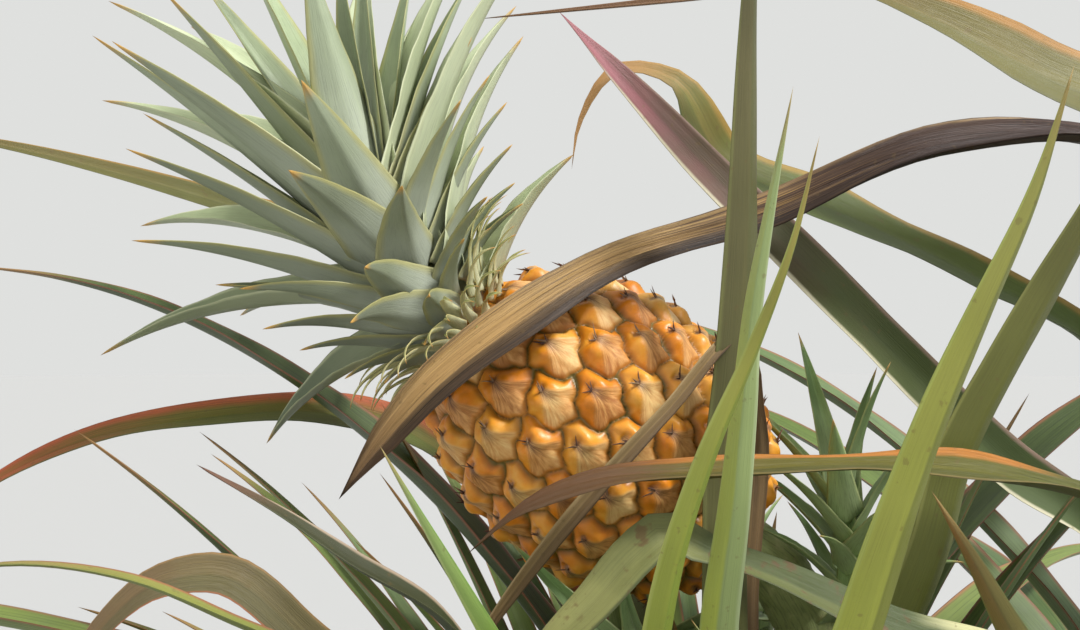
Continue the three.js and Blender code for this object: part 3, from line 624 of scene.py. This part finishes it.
def cad_rings(node):
    """The whole rings of four corners of a blade's solid from its tip down, and the tip."""
    shell = bmesh.new()
    shell.from_mesh(NODES[node].data)
    bmesh.ops.remove_doubles(shell, verts=shell.verts, dist=2e-5)
    four = [v for v in shell.verts if len(v.link_edges) == 4]
    tip = min(four, key=lambda v: sum(loop.calc_angle() for loop in v.link_loops))
    layer, rings = {tip}, []
    end = np.array(tip.co)
    seen = set(layer)
    while True:
        layer = {e.other_vert(v) for v in layer for e in v.link_edges} - seen
        if len(layer) != 4:
            break
        seen |= layer
        rings.append([np.array(v.co) for v in layer])
    shell.free()
    return rings, end


def cross_sections(rings):
    """Keel point, way up, half width and depth of each ring."""
    rows = []
    for ring in rings:
        pairs = [(i, j) for i in range(4) for j in range(i)]
        i, j = max(pairs, key=lambda ij: np.linalg.norm(ring[ij[0]] - ring[ij[1]]))
        keel = sum(ring[k] for k in range(4) if k not in (i, j)) / 2
        middle = (ring[i] + ring[j]) / 2
        depth = np.linalg.norm(middle - keel)
        rows.append(np.concatenate([keel, (middle - keel) / max(depth, 1e-9),
                                    [np.linalg.norm(ring[i] - ring[j]) / 2, depth]]))
    return rows


def nearest_on(line, point):
    fine = flowing(line, 60)
    return fine[np.argmin(np.linalg.norm(fine - point, axis=1))]


def leaf_spine(name, carrier, rings):
    """The spine of a strap leaf, from the middle of the stem that carries it to its tip."""
    if name in ROUTES:
        return routed_spine(*ROUTES[name], carrier, rings)
    found, tip = cad_rings(f"leaf_{name}")
    rows = cross_sections(found)
    rows = rows[::-1] + [np.concatenate([tip, rows[0][3:6], [0, 0]])]
    start = rows[0][:3]
    run = unit(start - rows[1][:3])

    def gap(reach):
        place = start + run * reach
        return np.linalg.norm(nearest_on(carrier, place) - place)

    reach = min(np.linspace(0, 0.14, 57), key=gap)
    if reach > 0.004:
        clasp = []
        for share in (1.0, 0.5):
            row = rows[0].copy()
            row[:3] = start + run * reach * share
            row[6:] *= 1 + 0.4 * share
            clasp.append(row)
        rows = clasp + rows
    return Spine(flowing(np.array(rows), rings))


def routed_spine(width, foot, faces, points, carrier, rings):
    """The spine of a leaf that is given by its own route."""
    if isinstance(foot, float):
        foot = flowing(carrier, 101)[round(foot * 100)]
    line = flowing(np.array([tuple(foot)] + points), rings)
    t = np.linspace(0, 1, rings)
    ways = np.array(faces, float)
    up = np.column_stack([np.interp(t, np.linspace(0, 1, len(ways)), ways[:, k]) for k in range(3)])
    length = np.linalg.norm(np.diff(line, axis=0), axis=1).sum()
    clasp = 1 + 0.35 * np.exp(-t * length * 3 / 0.070)
    half = width / 2 * clasp * (1 - np.maximum(0, (t - 0.42) / 0.58) ** 1.6)
    return Spine(np.column_stack([line, up, half * CHANNEL_HALF, half * CHANNEL_DEPTH]))


# Stems

def limb_mesh(name, line, radius, around, along, relief):
    """A closed round limb along a line, with its ends flat, and a relief added to its radius."""
    mesh = mesh_of(name, tube(around, along))
    x, y, height = corners_of(mesh).T
    ring = np.rint(height * along).astype(int)
    t = np.clip((ring - 1) / (along - 2), 0, 1)
    path = flowing(line, along - 1)
    k = np.clip(ring - 1, 0, along - 2)
    ways = unit(np.gradient(path, axis=0))
    side = unit(np.cross(np.tile((0.02, 1, 0.05), (len(path), 1)), ways))
    front = np.cross(ways, side)
    turn = np.arctan2(y, x)
    size = np.hypot(x, y)
    r = (radius(t) + relief(t, turn)) * np.minimum(size, 1)
    place = path[k] + side[k] * (r * np.cos(turn))[:, None] + front[k] * (r * np.sin(turn))[:, None]
    place[:, 2] = np.maximum(place[:, 2], 0)
    place_corners(mesh, place)
    give(mesh, "limb", "FLOAT_VECTOR", np.stack([t, turn / TURN, size], 1))
    return mesh


def stem_radius(t):
    """The main stem's radius: its core, narrower at the top, and the flare at the ground."""
    core = 0.027 + 0.005 * t * t
    return core * np.sqrt(1 - 0.7 * t ** 14) + 0.015 * np.exp(-t * STEM_HEIGHT / FLARE_REACH) - 0.0012


def shoot_radius(t):
    return 0.0165 + 0.004 * t


def stalk_radius(t):
    return 0.0185 - 0.003 * t


def scars(rows, height, seed):
    """Old leaf scars: low slanted steps that go round a stem."""
    dice = np.random.default_rng(seed)
    phases = dice.uniform(0, TURN, 6)

    def relief(t, turn):
        saw = (t * rows + turn / TURN * 2 + 0.12 * np.sin(turn * 3 + phases[0])) % 1.0
        bumps = sum(np.sin(turn * (k + 2) + t * (9 + 7 * k) + phases[k]) for k in range(6)) / 6
        return height * (0.8 - saw ** 3 * 1.3) + height * 0.5 * bumps
    return relief


def stem_finish(name, low, high, dark):
    f = Finish(name, 0.72)
    along, turn, _ = f.parts("limb")
    grain = f.noise(90.0, 5.0, 0.65)
    fibres = f.fibres(along, turn, (5.0, 30.0), 0.0, 3.0, 4.0, 0.6)
    paint = f.blend(f.swayed(along, grain, 0.5), [low, high])
    paint = f.over(paint, f.step(fibres, 0.52, 0.34), 0.6, dark)
    paint = f.over(paint, f.step(grain, 0.55, 0.72), 0.3, "c8b98c")
    f.bump(f.plus(grain, fibres), 0.6, 0.0014)
    return f.done(paint)


# The fruit

def fruit_profile():
    """Radius and height of the barrel along its outline from foot to crown, evenly spaced."""
    t = np.linspace(0, 1, 900)
    power = np.where(t < 0.5, 2.5, 1.9)
    round_part = np.sqrt(np.maximum(0, 1 - np.abs(2 * t - 1) ** power))
    radius = FRUIT_RADIUS * (round_part * (1 - FRUIT_FLAT) + FRUIT_FLAT)
    r = np.concatenate([[0], radius, [0]])
    z = np.concatenate([[0], t * FRUIT_LENGTH, [FRUIT_LENGTH]])
    run = np.concatenate([[0], np.cumsum(np.hypot(np.diff(r), np.diff(z)))])
    even = np.linspace(0, run[-1], 1200)
    r, z = np.interp(even, run, r), np.interp(even, run, z)
    blur = np.hanning(41) / np.hanning(41).sum()
    r[20:-20], z[20:-20] = np.convolve(r, blur, "valid"), np.convolve(z, blur, "valid")
    return even / run[-1], r, z, run[-1]


FRUIT_SIDE = unit(np.cross((0.0, 1.0, 0.0), FRUIT_AXIS))
FRUIT_FRONT = np.cross(FRUIT_AXIS, FRUIT_SIDE)


def on_fruit(share, turn):
    """Point, way out and way to the crown on the plain barrel."""
    s, r, z, _ = fruit_profile()
    slope_r, slope_z = np.gradient(r, s), np.gradient(z, s)
    size = np.hypot(slope_r, slope_z)
    radial = FRUIT_SIDE * np.cos(turn)[:, None] + FRUIT_FRONT * np.sin(turn)[:, None]
    at_r, at_z, step_r, step_z = [np.interp(share, s, values)[:, None]
                                  for values in (r, z, slope_r / size, slope_z / size)]
    point = FRUIT_FOOT + FRUIT_AXIS * at_z + radial * at_r
    return point, radial * step_z - FRUIT_AXIS * step_r, radial * step_r + FRUIT_AXIS * step_z


def fruit_eyes(count):
    """Places of the eyes: the same share of the skin for each, turned on by the spiral angle."""
    s, r, _, _ = fruit_profile()
    area = np.cumsum(r)
    area /= area[-1]
    share = np.interp((np.arange(count) + 0.5) / count, area, s)
    turn = np.arange(count) * SPIRAL + 0.4
    return on_fruit(share, turn)


def smoothstep(low, high, value):
    t = np.clip((value - low) / (high - low), 0, 1)
    return t * t * (3 - 2 * t)


def fruit_relief(point, eyes, size, relief):
    """Height over the barrel and the marks that the finish reads, for each point of the skin.
    An eye is a round dome on the crown side with a skirt of three points on the other."""
    centre, way_out, crownward = eyes
    sideways = np.cross(way_out, crownward)
    height, marks, tones = [], [], []
    dice = np.random.default_rng(5)
    tone_of = dice.random(len(centre))
    sway = dice.uniform(-0.12, 0.12, len(centre))
    for chunk in np.array_split(np.arange(len(point)), 24):
        far = np.full((len(chunk), len(centre)), 9.0)
        for along, across, reach in EYE_BALLS:
            ball = centre + (crownward * along + sideways * across) * size
            gap = point[chunk][:, None, :] - ball[None]
            far = np.minimum(far, np.sqrt((gap ** 2).sum(2)) - reach * size)
        order = np.argpartition(far, 1, axis=1)[:, :2]
        pick = np.take_along_axis(far, order, 1)
        nearest = order[np.arange(len(chunk)), np.argmin(pick, 1)]
        border = (pick.max(1) - pick.min(1)) / 2
        local = point[chunk] - centre[nearest]
        u = (local * crownward[nearest]).sum(1) / size
        v = (local * sideways[nearest]).sum(1) / size + sway[nearest] * (0.3 - u)
        rise = np.clip(border / EYE_SLOPE, 0, 1)
        dome = np.sqrt(1 - (1 - rise) ** 2.2)
        peak = np.clip(1 - np.hypot(u - 0.14, v * 0.9) / 1.05, 0, 1)
        cheeks = np.exp(-((u - 0.16) ** 2 / 0.16 + (np.abs(v) - 0.40) ** 2 / 0.07))
        bulge = 0.36 * cheeks + 0.50 * peak ** 1.2
        half = 0.07 + 1.7 * np.clip((0.36 - u) / 1.3, 0, 1) ** 1.7
        inside = smoothstep(-0.12, 0.08, half - np.abs(v)) * smoothstep(0.42, 0.28, u)
        rim = np.exp(-((np.abs(v) - half) ** 2) / 0.010) * smoothstep(0.3, -0.2, u)
        scale = inside * (0.04 - 0.12 * smoothstep(0.1, -0.5, u)) + 0.10 * rim
        pit = -0.34 * np.exp(-((u - 0.40) ** 2 / 0.006 + v ** 2 / 0.05))
        lobes = -0.10 * np.exp(-(v ** 2) / 0.010) * smoothstep(0.4, 0.6, u)
        height.append(relief * (dome * (0.62 + bulge + scale + pit + lobes) - 0.55))
        heart = inside * smoothstep(-0.50, 0.28, u) * smoothstep(0.28, 0.02, np.abs(v))
        dark = heart + 0.9 * np.exp(-((u - 0.34) ** 2 / 0.010 + v ** 2 / 0.030))
        marks.append(np.stack([u, v / np.maximum(half, 0.05), border * 1000], 1))
        tones.append(np.stack([inside, np.clip(dark, 0, 1), tone_of[nearest]], 1))
    return np.concatenate(height), np.concatenate(marks), np.concatenate(tones)


def fruit_finish(settings):
    f = Finish("ripe fruit", FRUIT_ROUGHNESS)
    u, ray, border = f.parts("eye")
    scale, dark, tone = f.parts("scale")
    mottle = f.noise(120.0, 4.0, 0.6)
    broad = f.noise(34.0, 3.0, 0.6)
    pick = f.plus(f.times(tone, 0.16), f.plus(f.times(mottle, 0.4), f.times(broad, 0.55)))
    paint = f.ramp(pick, [(0.34, "b0660e"), (0.50, settings.ripe), (0.64, "e8a032"), (0.82, "f2c468")])
    paint = f.over(paint, f.step(u, 0.35, 0.95), 0.30, "bd7216")
    fibre = f.fibres(u, ray, (1.0, 3.2), f.times(tone, 20.0), 2.4, 4.0, 0.6)
    mixed = f.plus(f.times(fibre, 0.6), f.times(broad, 0.45))
    dry = f.ramp(f.swayed(mixed, tone, 0.2), [(0.36, "ac6f38"), (0.52, settings.bract), (0.70, "f0ca88")])
    fade = f.times(scale, f.step(f.plus(border, f.times(mottle, 1.5)), 0.8, 3.2))
    paint = f.over(paint, fade, 0.92, dry)
    paint = f.over(paint, dark, f.step(fibre, 0.85, 0.30), "4e322c")
    valley = f.swayed(border, broad, 2.4)
    paint = f.over(paint, f.step(valley, 2.4, 0.3), 0.70, "7e4d0c")
    paint = f.over(paint, f.step(valley, 0.9, -0.1), 0.80, settings.groove)
    paint = f.over(paint, f.step(border, 0.35, 0.0), 0.45, "453c0c")
    f.bump(f.plus(mottle, f.times(fibre, scale)), 0.40, 0.0008)
    return f.done(paint, f.plus(f.times(scale, 0.16), FRUIT_ROUGHNESS))


# Tufts

def tuft_spine(foot, tip, axis, width, bend, rings, fold=0.45, taper=1.35):
    """A short leaf from its foot to its tip, which leaves more along the axis and ends more outward."""
    foot, tip = np.asarray(foot, float), np.asarray(tip, float)
    length = np.linalg.norm(tip - foot)
    ahead = (tip - foot) / length
    out = unit(ahead - axis * (ahead @ axis))
    t = np.linspace(0, 1, rings)[:, None]
    first = foot + unit(ahead + axis * bend * 2.2) * length * 0.38
    second = tip - unit(ahead - axis * bend * 1.8) * length * 0.32
    line = foot * (1 - t) ** 3 + 3 * first * t * (1 - t) ** 2 + 3 * second * t * t * (1 - t) + tip * t ** 3
    ways = unit(np.gradient(line, axis=0))
    up = np.cross(ways, np.tile(np.cross(axis, out), (rings, 1)))
    place = t[:, 0]
    half = width / 2 * (1 - place ** taper) * (1 + 0.30 * np.exp(-place * 7))
    return Spine(np.column_stack([line, up, half, half * fold]))


def line_frame(line, u):
    """The point at this share of a line, the way on along it, and two ways square to that."""
    fine = flowing(line, 101)
    k = int(round(u * 100))
    axis = unit(np.gradient(fine, axis=0))[k]
    east = unit(np.cross((0.0, 1.0, 0.0), axis))
    return fine[k], axis, east, np.cross(axis, east)


def level(turn):
    """The level way out at this turn."""
    return np.array((math.cos(turn), math.sin(turn), 0))


def ring_leaf(line, u, radius, turn, pitch, droop, length, width, rings, fold=0.45):
    """A leaf of a tuft by its turn round the stem and its pitch over the level."""
    centre, axis, east, north = line_frame(line, u)
    out = east * math.cos(turn) + north * math.sin(turn)
    foot = centre + out * radius
    rise, fall = math.radians(pitch), math.radians(pitch - droop)
    step = ((out * math.cos(rise) + axis * math.sin(rise)) * 0.5
            + (out * math.cos(fall) + axis * math.sin(fall)) * 0.5)
    return tuft_spine(foot, foot + step * length, axis, width, droop / 130, rings, fold)


def rosette_leaf(dice, turn, height, offset, reach, rise, width, bend, rings, fold):
    """An upright or spreading leaf of the main rosette. Reach, rise and width are ranges to draw from."""
    out = level(turn)
    foot = UP * height + out * offset
    tip = out * dice.uniform(*reach) + UP * dice.uniform(*rise)
    return tuft_spine(foot, tip, UP, dice.uniform(*width), bend, rings, fold, 2.0)


# Operators

class PLANT_OT_stage(bpy.types.Operator):
    """Adds the floor, the lights and the camera"""
    bl_idname = "plant.stage"
    bl_label = "Stage"

    def execute(self, context):
        settings = context.scene.pineapple_plant.stage
        link = context.scene.collection.objects.link
        shell = bmesh.new()
        bmesh.ops.create_circle(shell, cap_ends=True, segments=96, radius=FLOOR_RADIUS)
        mesh = mesh_of("floor", shell)
        floor = bpy.data.objects.new("floor", mesh)
        link(floor)
        f = Finish("pale floor", 0.85)
        mesh.materials.append(f.done(f.over(settings.floor, f.noise(0.6, 2.0), 0.1, "acaca9")))

        world = bpy.data.worlds.new("surroundings")
        world.use_nodes = True
        sky = world.node_tree.nodes["Background"]
        sky.inputs["Color"].default_value = tint("f1f2f0")
        sky.inputs["Strength"].default_value = settings.sky
        context.scene.world = world

        for name, place, spread in LAMPS:
            lamp = bpy.data.lights.new(name, "SUN")
            lamp.angle = math.radians(spread)
            lamp.energy = getattr(settings, name)
            light = bpy.data.objects.new(name, lamp)
            light.location = place
            light.rotation_euler = Vector(place).to_track_quat("Z", "Y").to_euler()
            link(light)

        lens = bpy.data.cameras.new("view")
        lens.lens = FOCAL_LENGTH
        lens.sensor_width = SENSOR_WIDTH
        lens.clip_start, lens.clip_end = 0.02, 60
        camera = bpy.data.objects.new("view", lens)
        camera.location = CAMERA_PLACE
        camera.rotation_euler = (math.pi / 2, 0, 0)
        link(camera)
        context.scene.camera = camera
        context.scene.view_settings.view_transform = "Standard"
        return {"FINISHED"}


class PLANT_OT_stems(bpy.types.Operator):
    """Makes the main stem, the side shoot's stem and the fruit stalk, with their scars and old leaf feet"""
    bl_idname = "plant.stems"
    bl_label = "Stems"

    def execute(self, context):
        bark = stem_finish("stem bark", "6a5537", "7d7148", "3f2f1e")
        green = stem_finish("stalk skin", "7c8450", "8f9a5e", "5a5f38")
        for name, line, radius, sides, steps, relief, finish, slot in (
                ("stem", STEM_LINE, stem_radius, 72, 130, scars(17, 0.0016, 1), bark, "bark"),
                ("shoot_stem", SHOOT_LINE, shoot_radius, 48, 120, scars(20, 0.0010, 2), bark, "bark"),
                ("fruit_stalk", STALK_LINE, stalk_radius, 48, 90, scars(9, 0.0008, 3), green, "stalk")):
            mesh = limb_mesh(name, line, radius, sides, steps, relief)
            finished(f"{name}_relief", mesh, finish, [name])

        dice = random.Random(8)
        spines = []
        for k in range(OLD_FEET):
            out = level(k * SPIRAL)
            foot = UP * (0.012 + 0.088 * k / (OLD_FEET - 1)) + out * 0.024
            length = dice.uniform(0.05, 0.10)
            pitch = math.radians(dice.uniform(28, 62))
            tip = foot + (out * math.cos(pitch) + UP * math.sin(pitch)) * length
            spines.append(tuft_spine(foot, tip, UP, dice.uniform(0.026, 0.036), 0.08, 12, 0.4))
        shapes = [dict(wave=0.16, pleats=3, pleat=0.08)] * len(spines)
        mesh = blades("old_leaf_feet", 12, spines, 0.002, shapes, 9)
        straw = dealt_leaf_finish("old leaf feet", ["5a4630", "7c6444", "937a52"], "4a3826", "8f7a56",
                                  roughness=0.7)
        finished("old_leaf_feet", mesh, straw)
        return {"FINISHED"}


class PLANT_OT_fruit(bpy.types.Operator):
    """Makes the fruit's skin with its eyes, and the small dried tips on them"""
    bl_idname = "plant.fruit"
    bl_label = "Fruit"

    def execute(self, context):
        settings = context.scene.pineapple_plant.fruit
        shell = bmesh.new()
        bmesh.ops.create_uvsphere(shell, u_segments=FRUIT_SIDES, v_segments=FRUIT_RINGS, radius=1)
        mesh = mesh_of("fruit", shell)
        x, y, z = corners_of(mesh).T
        share = 1 - np.arccos(np.clip(z, -1, 1)) / math.pi
        point, out, _ = on_fruit(share, np.arctan2(y, x))
        eyes = fruit_eyes(settings.eyes)
        _, r, _, run = fruit_profile()
        skin = TURN * r.mean() * run
        size = math.sqrt(skin / settings.eyes / math.pi) * EYE_OVERLAP
        height, marks, tones = fruit_relief(point, eyes, size, settings.relief)
        ends = smoothstep(0.0, 0.05, share) * smoothstep(1.0, 0.95, share)
        point += out * (height * ends)[:, None]
        place_corners(mesh, point)
        give(mesh, "eye", "FLOAT_VECTOR", marks)
        give(mesh, "scale", "FLOAT_VECTOR", tones)
        finished("fruit_skin", mesh, fruit_finish(settings), ["fruit"])

        dice = random.Random(4)
        spines = []
        for centre, way_out, way_up in zip(*eyes):
            side = np.cross(way_out, way_up)
            for _ in range(TIPS_ON_EYE):
                sway = dice.uniform(-0.9, 0.9)
                foot = centre + way_out * settings.relief * 0.50 + way_up * size * 0.22
                foot = foot + side * dice.uniform(-0.001, 0.001)
                way = way_up * dice.uniform(0.6, 1.0) + way_out * dice.uniform(0.15, 0.6) + side * sway
                tip = foot + way * dice.uniform(0.0035, 0.0080)
                spines.append(tuft_spine(foot, tip, way_up, dice.uniform(0.0009, 0.0018), 0.10, 6, 0.5))
        mesh = blades("eye_tips", 6, spines, 0.0005, [dict(wave=0.25)] * len(spines), 6)
        tips = dealt_leaf_finish("dried tips", ["5a3b33", "7c5b48", "a98a68"], "4a302a", "a88a68",
                                 roughness=0.7)
        finished("eye_tips", mesh, tips)
        return {"FINISHED"}


class PLANT_OT_crown(bpy.types.Operator):
    """Makes the leaves of the crown and the small curled ones at its foot"""
    bl_idname = "plant.crown"
    bl_label = "Crown"

    def execute(self, context):
        settings = context.scene.pineapple_plant.crown
        dice = random.Random(12)
        front, shapes = [], []
        for *tip, u, width, arch in CROWN_LEAVES:
            centre, axis, _, _ = line_frame(CROWN_LINE, u)
            reach = np.array(tip) - centre
            out = unit(reach - axis * (reach @ axis))
            foot = centre + out * (0.022 - 0.016 * u)
            broader = 1.6 if tip[2] > HEART_HEIGHT else 1.16
            front.append(tuft_spine(foot, tip, axis, width * broader, arch, 36, 0.72))
            # Painted light: tone rises with the height of the tip, so the top leaves of the crown are paler,
            # as if sunlit through, and the low ones darker olive
            high = (tip[2] - 0.535) / 0.225
            shapes.append(dict(wave=0.02, keel=0.1, tone=0.15 + 0.7 * high + dice.uniform(-0.12, 0.12)))
        mesh = blades("crown_front", 20, front, settings.thickness, shapes, 13)
        skin = dealt_leaf_finish("crown leaves", ["4a5236", settings.leaf, "8c9876", "bccca0"], "b4ac64",
                                 settings.tip, settings.bloom, roughness=0.38, rim=0.6, grain=0.45,
                                 inset=0.74)
        finished("crown_front", mesh, skin, ["crown_middle", "crown_heart"])

        behind, shapes = [], []
        for k in range(settings.behind):
            u = (k + 0.5) / settings.behind
            turn = math.pi / 2 + ((k * GOLDEN_SHARE) % 1 - 0.5) * TURN * 0.46
            pitch = 14 + 56 * u ** 0.9
            length = (0.075 + 0.125 * math.sin(min(1.0, u * 1.5) * math.pi / 2)) * (1 - 0.22 * u)
            width = 0.034 + 0.006 * math.sin(u * 3)
            leaf = ring_leaf(CROWN_LINE, u, 0.021 - 0.015 * u, turn, pitch, 22, length, width, 28, 0.7)
            behind.append(leaf)
            # Painted light: these far leaves get pale colours that rise with the height of the tip and almost
            # no painted shade on their halves, as if the sun shone through them
            high = (leaf.point[-1][2] - 0.50) / 0.22
            shapes.append(dict(wave=0.03, keel=0.1, tone=min(1.0, max(0.0, high))))
        mesh = blades("crown_behind", 16, behind, settings.thickness, shapes, 14)
        painted_sunlit_skin = dealt_leaf_finish("sunlit crown leaves", ["616d50", "8c986e", "b4c094", "c8d2ac"], "ccd0a8",
                                  settings.tip, "b9c0a0", roughness=0.45, grain=0.45, shade=0.06)
        finished("crown_behind", mesh, painted_sunlit_skin, ["crown_low"])

        collar = []
        for k in range(settings.collar):
            u = 0.02 + 0.16 * k / settings.collar
            length = dice.uniform(0.026, 0.042) + 0.08 * u
            pitch = 46 + 60 * u + dice.uniform(-12, 12)
            width = dice.uniform(0.0046, 0.0076)
            radius = 0.027 - 0.02 * u
            collar.append(ring_leaf(CROWN_LINE, u, radius, k * SPIRAL, pitch, 60, length, width, 16))
        mesh = blades("collar_leaves", 10, collar, 0.0008, [dict(wave=0.06, keel=0.1)] * len(collar), 15)
        pale = dealt_leaf_finish("collar leaves", ["a3a866", "c9c884", "dcd8a4"], "dcca86", "c98c48",
                                 "d8d9b8", roughness=0.55)
        finished("collar_leaves", mesh, pale, ["crown_collar"])
        return {"FINISHED"}


class PLANT_OT_slips(bpy.types.Operator):
    """Makes the three slips under the fruit"""
    bl_idname = "plant.slips"
    bl_label = "Slips"

    def execute(self, context):
        dice = random.Random(21)
        skin = dealt_leaf_finish("slip leaves", ["6c8c50", "7f9e5a", "98b270"], "b0b87e", "b98f52", "b0bf92")
        for name, line in SLIP_LINES.items():
            spines = []
            for k in range(SLIP_LEAVES):
                u = 0.25 + 0.75 * k / (SLIP_LEAVES - 1)
                length = 0.045 + 0.045 * u * dice.uniform(0.8, 1.1)
                width = dice.uniform(0.013, 0.017)
                radius, pitch = 0.006 - 0.003 * u, 18 + 56 * u
                leaf = ring_leaf(line, u, radius, k * SPIRAL, pitch, 20, length, width, SLIP_RINGS, 0.55)
                spines.append(leaf)
            ways = np.tile((0.1, 0.2, 1.0), (SLIP_RINGS, 1))
            core = [flowing(line, SLIP_RINGS), ways, np.full(SLIP_RINGS, 0.0062), np.zeros(SLIP_RINGS)]
            spines.append(Spine(np.column_stack(core)))
            shapes = [dict(wave=0.04)] * SLIP_LEAVES + [dict(wave=0.0)]
            mesh = blades(name, 12, spines, 0.0014, shapes, 22)
            finished(name + "_leaves", mesh, skin, [name])
        return {"FINISHED"}


class PLANT_OT_single_leaves(bpy.types.Operator):
    """Makes the leaves that cross the fruit and stand beside it, each with a finish of its own"""
    bl_idname = "plant.single_leaves"
    bl_label = "Single leaves"

    def execute(self, context):
        settings = context.scene.pineapple_plant.leaves
        for name, look in LOOKS.items():
            carrier = SHOOT_LINE if name in SIDE_SHOOT else STEM_LINE
            spine = leaf_spine(name, carrier, settings.rings)
            shape = dict(wave=settings.waviness)
            shape.update(SHAPES.get(name, {}))
            mesh = blades(name, 24, [spine], settings.thickness, [shape], sum(map(ord, name)))
            nodes = [f"leaf_{name}"] + ([f"leaf_{name}_tip"] if f"leaf_{name}_tip" in NODES else [])
            finished(f"blade_{name}", mesh, leaf_finish(f"{name} leaf", look), nodes)
        return {"FINISHED"}


class PLANT_OT_rosettes(bpy.types.Operator):
    """Makes the leaves of the plant's own rosette and of its side shoot"""
    bl_idname = "plant.rosettes"
    bl_label = "Rosettes"

    def execute(self, context):
        settings = context.scene.pineapple_plant.leaves
        shades = [settings.deep, "5a6e34", settings.green, "7a8a42", "667c50"]
        skin = dealt_leaf_finish("rosette leaves", shades, settings.flush, "9a7444")
        for group, carrier, count in (("main", STEM_LINE, MAIN_LEAVES), ("shoot", SHOOT_LINE, SHOOT_LEAVES)):
            names = [f"{group}_{k + 1}" for k in range(count)]
            spines = [leaf_spine(name, carrier, settings.rings) for name in names]
            mesh = blades(f"{group}_rosette", 20, spines, settings.thickness, [dict(wave=0.05)] * count, 31)
            finished(f"{group}_rosette", mesh, skin, [f"leaf_{name}" for name in names])

        dice = random.Random(27)
        spines = []
        for k in range(settings.inner):
            turn = math.radians(-28 + 236 * (k + 0.5) / settings.inner) + dice.uniform(-0.1, 0.1)
            height = 0.06 + 0.12 * ((k * INNER_STEP) % 1)
            spines.append(rosette_leaf(dice, turn, height, 0.008, (0.17, 0.36), (0.36, 0.53), (0.026, 0.036),
                                       0.22, 44, 0.5))
        shapes = [dict(wave=0.05)] * len(spines)
        mesh = blades("inner_rosette", 16, spines, settings.thickness, shapes, 33)
        finished("inner_rosette", mesh, skin)

        spines = []
        for k in range(settings.skirt):
            height = 0.03 + 0.06 * k / settings.skirt
            spines.append(rosette_leaf(dice, k * SPIRAL + 0.3, height, 0.016, (0.16, 0.27), (0.05, 0.16),
                                       (0.024, 0.034), 0.35, 36, 0.4))
        shapes = [dict(wave=0.10, pleats=3, pleat=0.05)] * len(spines)
        mesh = blades("skirt", 16, spines, settings.thickness, shapes, 34)
        old = dealt_leaf_finish("older leaves", ["6c5c38", "6e6a38", settings.deep, "80683c"], "8e6c48",
                                "7a5c3c", roughness=0.6)
        finished("skirt_leaves", mesh, old)
        return {"FINISHED"}


class PLANT_PT_panel(bpy.types.Panel):
    """Lists the pieces of the plant and their sizes"""
    bl_idname = "PLANT_PT_panel"
    bl_label = "Pineapple plant"
    bl_space_type = "VIEW_3D"
    bl_region_type = "UI"
    bl_category = "Plant"

    def draw(self, context):
        settings = context.scene.pineapple_plant
        for operator in OPERATORS:
            self.layout.operator(operator.bl_idname)
        for group in (settings.leaves, settings.fruit, settings.crown, settings.stage):
            box = self.layout.box()
            for name in group.__annotations__:
                box.prop(group, name)


OPERATORS = (PLANT_OT_stage, PLANT_OT_stems, PLANT_OT_fruit, PLANT_OT_crown, PLANT_OT_slips,
             PLANT_OT_single_leaves, PLANT_OT_rosettes)
SETTINGS = (LeafSettings, FruitSettings, CrownSettings, StageSettings, PlantSettings)
CLASSES = SETTINGS + OPERATORS + (PLANT_PT_panel,)


def register():
    for made in CLASSES:
        bpy.utils.register_class(made)
    bpy.types.Scene.pineapple_plant = PointerProperty(type=PlantSettings)


def unregister():
    del bpy.types.Scene.pineapple_plant
    for made in reversed(CLASSES):
        bpy.utils.unregister_class(made)


def main():
    register()
    bpy.ops.plant.stage()
    bpy.ops.plant.stems()
    bpy.ops.plant.fruit()
    bpy.ops.plant.crown()
    bpy.ops.plant.slips()
    bpy.ops.plant.single_leaves()
    bpy.ops.plant.rosettes()


if __name__ == "__main__":
    main()
